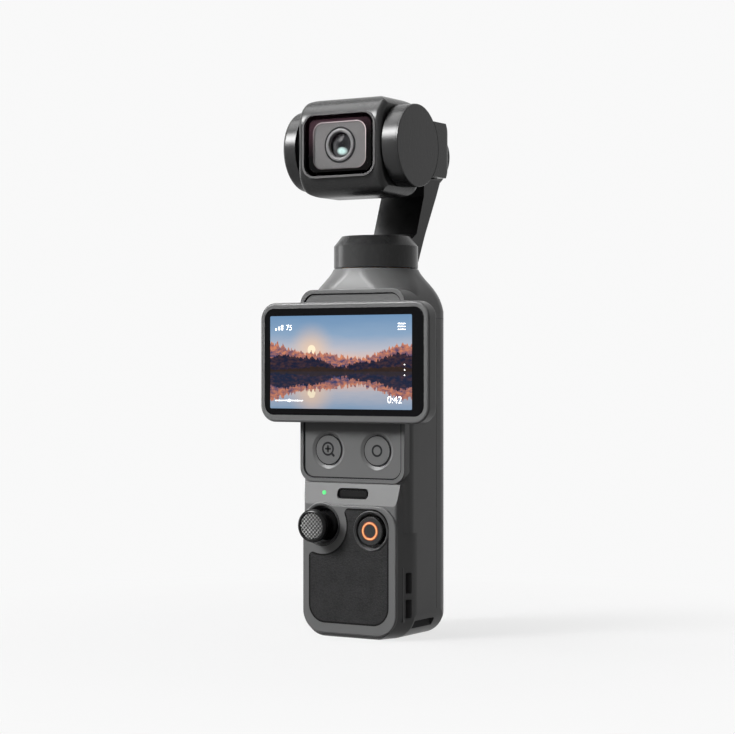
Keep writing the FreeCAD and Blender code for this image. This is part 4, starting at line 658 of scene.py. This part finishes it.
def windowPane(name):
    # Clear in the middle, and drawn on the back: a black border, with a thin pale edge along its inside as a
    # painted highlight, brighter to the upper right, and the purple of the coating at its upper left as a
    # painted reflection
    made = Finish(name, IOR=1.5, Specular_IOR_Level=0.08)
    x, y, z = made.axes()
    outward = roundBox(x, z, window)
    printed = y > window["back"]
    border = outward.step(-window["soft"], window["soft"]) * printed
    line = outward.step(-window["line"] - window["lineSoft"], -window["line"]) * printed * (1 - border)
    higher = z - window["centre"][1]
    # Painted reflection: the purple of the coating, drawn stronger at the top and to the left
    coating = slope(x, higher, window["coating"]) + made.patches(*window["coatingPatches"])
    coatingReflectionTone = made.blend(coating.step(0.0, 1.0), *window["coatingTones"])
    # Painted highlight: the pale edge line, drawn brighter to the upper right
    lineHighlightTone = made.blend(slope(x, higher, window["lineLight"]).step(0.0, 1.0), *window["lineTones"])
    made.feed(Base_Color=made.blend(line, coatingReflectionTone, lineHighlightTone),
              Alpha=border.most(line * window["lineShare"]) * (1 - window["clear"]) + window["clear"],
              Roughness=made.patches(*window["rough"]))
    return made.material


def lensCoat(name):
    # A deep dark lens with painted light: grey where its coating would catch the light above, lighter outward
    # and to the lower left, a painted shadow across the top, and a painted pale blue green glint low in the
    # middle, which also glows
    made = Finish(name, IOR=1.5, Specular_IOR_Level=0.04, Emission_Strength=0.45)
    x, y, z = made.axes()
    across = x - lens["centre"][0]
    up = z - lens["centre"][1]
    # Painted light: grey where the coating would catch light, more so outward and to the lower left
    bowl = distance(x, z, lens["centre"]) * lens["bowlOut"] + slope(across, up, lens["bowl"])
    tone = made.blend(bowl.step(*lens["bowlEdge"]), lens["deepTone"], lens["bowlTone"])
    # Painted shadow across the top of the lens
    tone = made.blend(up.step(*lens["shadowEdge"]) * lens["shadowShare"], tone, lens["shadowTone"])
    side = (across - lens["glintPlace"][0]) * lens["glintSqueeze"][0]
    rise = (up - lens["glintPlace"][1]) * lens["glintSqueeze"][1]
    # Painted reflection: the glint, which also glows
    glint = 1 - (side ** 2 + rise ** 2).step(*lens["glintEdge"])
    glint = glint * made.patches(*lens["glintPatches"])
    made.feed(Base_Color=made.blend(glint, tone, lens["glintTone"]),
              Emission_Color=made.blend(glint, black, lens["glintLight"]),
              Roughness=made.patches(*lens["rough"]))
    return made.material


def makeLens():
    turnedForm(lens["centre"], lens["bezel"], lens["sides"], hollow=True)
    endPiece("lens_bezel", "camera_head", "lens_ring_grey", angle=50)
    # Painted shade: a dark ring round the bezel
    ringForm(lens["centre"], lens["gapRadius"], lens["gapWidth"], lens["gapPlace"], lens["gapThick"],
             lens["sides"])
    endPiece("lens_gap", "camera_head", "line_black")


# Finish of the grip inlay

grip = {
    "centre": (-0.1, 19.22), "half": (12.5, 15.48), "corner": 5.0,
    "stickField": 7.8,      # radius of the bay that the stick cuts out of the inlay
    "edge": 0.42, "edgeSoft": 0.15, "edgeTone": (0.002, 0.002, 0.002, 1),
    "pebble": 0.42, "grain": 0.12, "grainShare": 0.35, "depth": 0.09,
    "cloud": 4, "heightShare": 0.5, "cloudShare": 0.5, "dark": 0.4, "light": 1.7,
    "rough": 0.72, "polish": 0.14,
}


def leather(name, colour):
    # Small closed pebbles with soft creases, lighter where they stand highest, and a dark band along the edge
    # as painted shade where the inlay meets the shell
    made = Finish(name, Specular_IOR_Level=0.08)
    x, y, z = made.axes()
    outward = roundBox(x, z, grip).most(grip["stickField"] - distance(x, z, stick["centre"]))
    # Painted shade: a dark band along the edge of the inlay
    edgeShade = outward.step(-grip["edge"] - grip["edgeSoft"], -grip["edge"])
    grain = made.noise(grip["grain"], 3) * grip["grainShare"]
    height = 1 - made.cells(grip["pebble"], "SMOOTH_F1") + grain
    clouds = made.noise(grip["cloud"], 3) - 0.5
    tone = height * grip["heightShare"] + clouds * grip["cloudShare"]
    tone = made.blend(tone, shade(colour, grip["dark"]), shade(colour, grip["light"]))
    made.feed(Base_Color=made.blend(edgeShade, tone, grip["edgeTone"]),
              Roughness=grip["rough"] - height * grip["polish"],
              Normal=made.relief(height, grip["depth"]))
    return made.material


# Finishes of the shells, the moving parts and the inside

spray = {
    "cloud": 9, "grainShare": 1.2, "dark": 0.8, "light": 1.2,
    "smear": 3, "smearStretch": (0.4, 1, 0.25), "smearSheen": 0.14, "grainSheen": 0.1,
}


def coated(name, colour, rough, grain=0.09, spread=0.07, depth=0.004, **fixed):
    # A fine sprayed coat over metal or a moulding: tiny grain, faint cloudiness and handling marks
    made = Finish(name, **fixed)
    grains = made.noise(grain, 2) - 0.5
    clouds = made.noise(spray["cloud"], 4) - 0.5
    smears = made.noise(spray["smear"], 3, 0.6, spray["smearStretch"]) - 0.5
    tone = (clouds + grains * spray["grainShare"]) * spread + 0.5
    made.feed(Base_Color=made.blend(tone, shade(colour, spray["dark"]), shade(colour, spray["light"])),
              Roughness=smears * spray["smearSheen"] + grains * spray["grainSheen"] + rough,
              Normal=made.relief(grains, depth))
    return made.material


scratched = {
    "width": 0.5, "stretch": (1, 1, 60), "depth": 0.004, "share": 0.6, "cloud": 2, "cloudShare": 0.4,
    "dark": 0.8, "light": 1.12, "sheen": 0.16,
}


def metal(name, colour, rough):
    # Bare metal with fine scratches that run across it
    made = Finish(name, Metallic=1.0)
    scratches = made.noise(scratched["width"], 3, 0.6, scratched["stretch"])
    clouds = made.noise(scratched["cloud"], 3)
    tone = scratches * scratched["share"] + clouds * scratched["cloudShare"]
    tone = made.blend(tone, shade(colour, scratched["dark"]), shade(colour, scratched["light"]))
    made.feed(Base_Color=tone, Roughness=(scratches - 0.5) * scratched["sheen"] + rough,
              Normal=made.relief(scratches, scratched["depth"]))
    return made.material


coil = {
    "pitch": 0.24, "depth": 0.03, "share": 0.3, "cloud": 1.2, "cloudShare": 0.7,
    "tones": ((0.42, 0.16, 0.07, 1), (0.83, 0.42, 0.24, 1)), "sheen": 0.2, "rough": 0.22,
}


def windings(name):
    # Enamelled copper laid in turns round iron teeth
    made = Finish(name, Metallic=1.0)
    x, y, z = made.axes()
    turns = ((x + y + z) * (math.tau / coil["pitch"])).sine()
    clouds = made.noise(coil["cloud"], 3)
    made.feed(Base_Color=made.blend(turns * coil["share"] + clouds * coil["cloudShare"], *coil["tones"]),
              Roughness=clouds * coil["sheen"] + coil["rough"],
              Normal=made.relief(turns, coil["depth"]))
    return made.material


board = {
    "track": 1.5, "width": 0.06, "depth": 0.02, "share": 0.6, "cloud": 3, "cloudShare": 0.3,
    "dark": 0.9, "light": 2.2, "sheen": 0.15, "rough": 0.33,
}


def circuit(name, colour):
    # Solder mask over fine tracks
    made = Finish(name)
    tracks = made.cells(board["track"], "DISTANCE_TO_EDGE") < board["width"]
    clouds = made.noise(board["cloud"], 2)
    tone = tracks * board["share"] + clouds * board["cloudShare"]
    made.feed(Base_Color=made.blend(tone, shade(colour, board["dark"]), shade(colour, board["light"])),
              Roughness=clouds * board["sheen"] + board["rough"],
              Normal=made.relief(tracks, board["depth"]))
    return made.material


sleeve = {
    "crease": 3, "stretch": (1, 1, 0.3), "depth": 0.05, "dark": 0.7, "light": 1.4,
    "sheen": 0.3, "rough": 0.25,
}


def wrapped(name, colour):
    # Shrink wrap with long creases
    made = Finish(name, Coat_Weight=0.3)
    creases = made.noise(sleeve["crease"], 5, 0.7, sleeve["stretch"])
    made.feed(Base_Color=made.blend(creases, shade(colour, sleeve["dark"]), shade(colour, sleeve["light"])),
              Roughness=creases * sleeve["sheen"] + sleeve["rough"],
              Normal=made.relief(creases, sleeve["depth"]))
    return made.material


glow = {"cloud": 0.5, "dark": 0.8, "dim": 0.85, "sheen": 0.2, "rough": 0.2}


def glowing(name, colour, strength):
    # Lit from within, a little unevenly
    made = Finish(name, Emission_Strength=strength)
    clouds = made.noise(glow["cloud"], 2)
    made.feed(Base_Color=made.blend(clouds, shade(colour, glow["dark"]), shade(colour, 1)),
              Emission_Color=made.blend(clouds, shade(colour, glow["dim"]), shade(colour, 1)),
              Roughness=clouds * glow["sheen"] + glow["rough"])
    return made.material


finishes = {
    "shell_grey": coated("shellGrey", (0.09, 0.09, 0.0905), 0.35, Specular_IOR_Level=0.22),
    "head_grey": coated("headGrey", (0.021, 0.021, 0.0212), 0.26, grain=0.06, depth=0.002,
                        Specular_IOR_Level=0.23),
    # Painted shade: a darker copy of the head's finish, for the arm frame in shade under the head
    "arm_black": coated("armBlack", (0.007, 0.007, 0.0071), 0.3, grain=0.06, Specular_IOR_Level=0.2),
    "collar_grey": coated("collarGrey", (0.04, 0.04, 0.0405), 0.32, Specular_IOR_Level=0.2),
    "black_plastic": coated("blackPlastic", (0.006, 0.006, 0.0062), 0.35, Specular_IOR_Level=0.12),
    "stick_rubber": coated("stickRubber", (0.006, 0.006, 0.0062), 0.16, grain=0.07,
                           Specular_IOR_Level=0.12),
    "joint_shade": coated("jointShade", (0.035, 0.035, 0.0355), 0.6, Specular_IOR_Level=0.15),
    # Black for the print of the cap marks, and for painted shade in gaps, grooves, the slot and the notches
    "line_black": coated("lineBlack", (0.008, 0.008, 0.009), 0.7, Specular_IOR_Level=0.15),
    "mask_grey": coated("maskGrey", (0.064, 0.06, 0.061), 0.5),
    "lens_ring_grey": coated("lensRingGrey", (0.17, 0.167, 0.17), 0.28, Specular_IOR_Level=0.3),
    "frame_metal": coated("frameGrey", (0.075, 0.073, 0.074), 0.3, Specular_IOR_Level=0.3),
    "black_glass": coated("blackGlass", (0.003, 0.003, 0.0035), 0.08, spread=0.02, depth=0.0005,
                          Specular_IOR_Level=0.05),
    "grip_leather": leather("gripLeather", (0.02, 0.02, 0.0204)),
    "knurl_metal": knurled("knurlMetal"),
    "window_tint": windowPane("windowTint"),
    "lens_glass": lensCoat("lensGlass"),
    "screen_picture": picture("screenPicture"),
    "display_light": glowing("displayLight", (0.05, 0.06, 0.09), 0.4),
    "mark_white": glowing("markWhite", (0.9, 0.9, 0.9), 1.0),
    "status_green": glowing("statusGreen", (0.07, 0.5, 0.15), 0.7),
    "ring_orange": litRing("ringOrange"),
    "steel": metal("steel", (0.55, 0.55, 0.56), 0.3),
    "magnet_nickel": metal("magnetNickel", (0.6, 0.6, 0.58), 0.2),
    "stick_metal": metal("stickMetal", (0.2, 0.2, 0.21), 0.4),
    "copper_stator": windings("copperStator"),
    "board_green": circuit("boardGreen", (0.02, 0.1, 0.05)),
    "cell_wrap": wrapped("cellWrap", (0.02, 0.03, 0.1)),
}

# Two nodes are darker than the rest of their material slot; the arm frame's darker finish is painted shade,
# for the shade it lies in under the head
ownFinish = {"stick_collar": "collar_grey", "arm_frame": "arm_black"}

for row in frame["record"]["subparts"]:
    node = frame["nodes"][row["node"]]
    node.data.materials.clear()
    node.data.materials.append(finishes[ownFinish.get(row["node"], row["material_slot"])])
print("finishes:", len(finishes))

makeStick()
makeScreen()
makeCapMarks()
makeSeams()
makeShellJoint()
makeNotchShade()
makeRecord()
makeLens()
print("pieces made")


# Floor, lamps and camera

studio = {
    "floorHalf": 30,
    "floorColour": (0.5, 0.5, 0.5, 1),
    "backdrop": (0.945, 0.945, 0.945, 1),
    "shadowReach": (30, 160),       # millimetres from the middle
    "nearBackdrop": 0.8,            # share of plain backdrop in the floor beside the object
    "bounce": (0.08, 0.08, 0.08, 1),
    "fill": 0.17,
    "lamps": [
        # name, place, aim, width, height, spread in degrees, watts
        ("key", (-0.44, -0.565, 0.54), (0, 0, 0.125), 0.45, 0.42, 30, 1.15),
        ("top", (-0.25, -0.15, 0.82), (0, 0, 0.1), 0.6, 0.5, 180, 5.0),
        ("left", (-0.8, -0.1, 0.16), (0, 0, 0.08), 0.25, 0.6, 180, 2.0),
    ],
    "eye": (0.28501, -0.47508, 0.07237),
    "turn": (90, 0, 31.2),
    "lens": 99.58, "sensor": 36, "nearest": 0.01,
}
directRays = ("Is Camera Ray", "Is Glossy Ray", "Is Transmission Ray")


def lamp(name, place, aim, width, height, spread, watts):
    data = bpy.data.lights.new(name, "AREA")
    data.shape = "RECTANGLE"
    data.size = width
    data.size_y = height
    data.spread = math.radians(spread)
    data.energy = watts
    made = bpy.data.objects.new(name, data)
    bpy.context.scene.collection.objects.link(made)
    made.location = place
    made.rotation_euler = (Vector(aim) - Vector(place)).to_track_quat("-Z", "Y").to_euler()


for row in studio["lamps"]:
    lamp(*row)

bpy.ops.object.select_all(action="DESELECT")
bpy.ops.mesh.primitive_plane_add(size=2 * studio["floorHalf"], location=(0, 0, 0))
floor = bpy.context.object
floor.name = "floor"
floorFinish = Finish("floorPale", Roughness=0.9, Specular_IOR_Level=0.0)
backdrop = floorFinish.add("ShaderNodeEmission", {}, {"Color": studio["backdrop"], "Strength": 1.0})
rays = floorFinish.tree.nodes.new("ShaderNodeLightPath")
cameraRay, glossyRay, throughRay = [Wire(floorFinish, rays.outputs[name]) for name in directRays]
seenRay = cameraRay.most(glossyRay).most(throughRay)
floorX, floorY, floorZ = floorFinish.axes()
farAway = distance(floorX, floorY, (0, 0)).step(*studio["shadowReach"])
plainShare = farAway * (1 - studio["nearBackdrop"]) + studio["nearBackdrop"]
floorFinish.feed(Base_Color=floorFinish.blend(seenRay, studio["bounce"], studio["floorColour"]))
shadowed = floorFinish.add("ShaderNodeMixShader", {}, {0: seenRay * plainShare, 2: backdrop})
floorFinish.tree.links.new(floorFinish.shader.outputs[0], shadowed.socket.node.inputs[1])
floorFinish.tree.links.new(shadowed.socket, floorFinish.tree.nodes["Material Output"].inputs["Surface"])
floor.data.materials.append(floorFinish.material)

world = bpy.data.worlds.new("studio")
bpy.context.scene.world = world
world.use_nodes = True
sky = world.node_tree
lit = sky.nodes["Background"]
lit.inputs["Color"].default_value = white
lit.inputs["Strength"].default_value = studio["fill"]
seen = sky.nodes.new("ShaderNodeBackground")
seen.inputs["Color"].default_value = studio["backdrop"]
path = sky.nodes.new("ShaderNodeLightPath")
reached = path.outputs[directRays[0]]
for ray in directRays[1:]:
    either = sky.nodes.new("ShaderNodeMath")
    either.operation = "MAXIMUM"
    sky.links.new(reached, either.inputs[0])
    sky.links.new(path.outputs[ray], either.inputs[1])
    reached = either.outputs[0]
mixed = sky.nodes.new("ShaderNodeMixShader")
sky.links.new(reached, mixed.inputs[0])
sky.links.new(lit.outputs[0], mixed.inputs[1])
sky.links.new(seen.outputs[0], mixed.inputs[2])
sky.links.new(mixed.outputs[0], sky.nodes["World Output"].inputs["Surface"])

cameraData = bpy.data.cameras.new("camera")
camera = bpy.data.objects.new("camera", cameraData)
bpy.context.scene.collection.objects.link(camera)
camera.location = studio["eye"]
camera.rotation_euler = [math.radians(angle) for angle in studio["turn"]]
cameraData.lens = studio["lens"]
cameraData.sensor_width = studio["sensor"]
cameraData.clip_start = studio["nearest"]
bpy.context.scene.camera = camera
bpy.context.scene.view_settings.view_transform = "Standard"
print("studio ready")
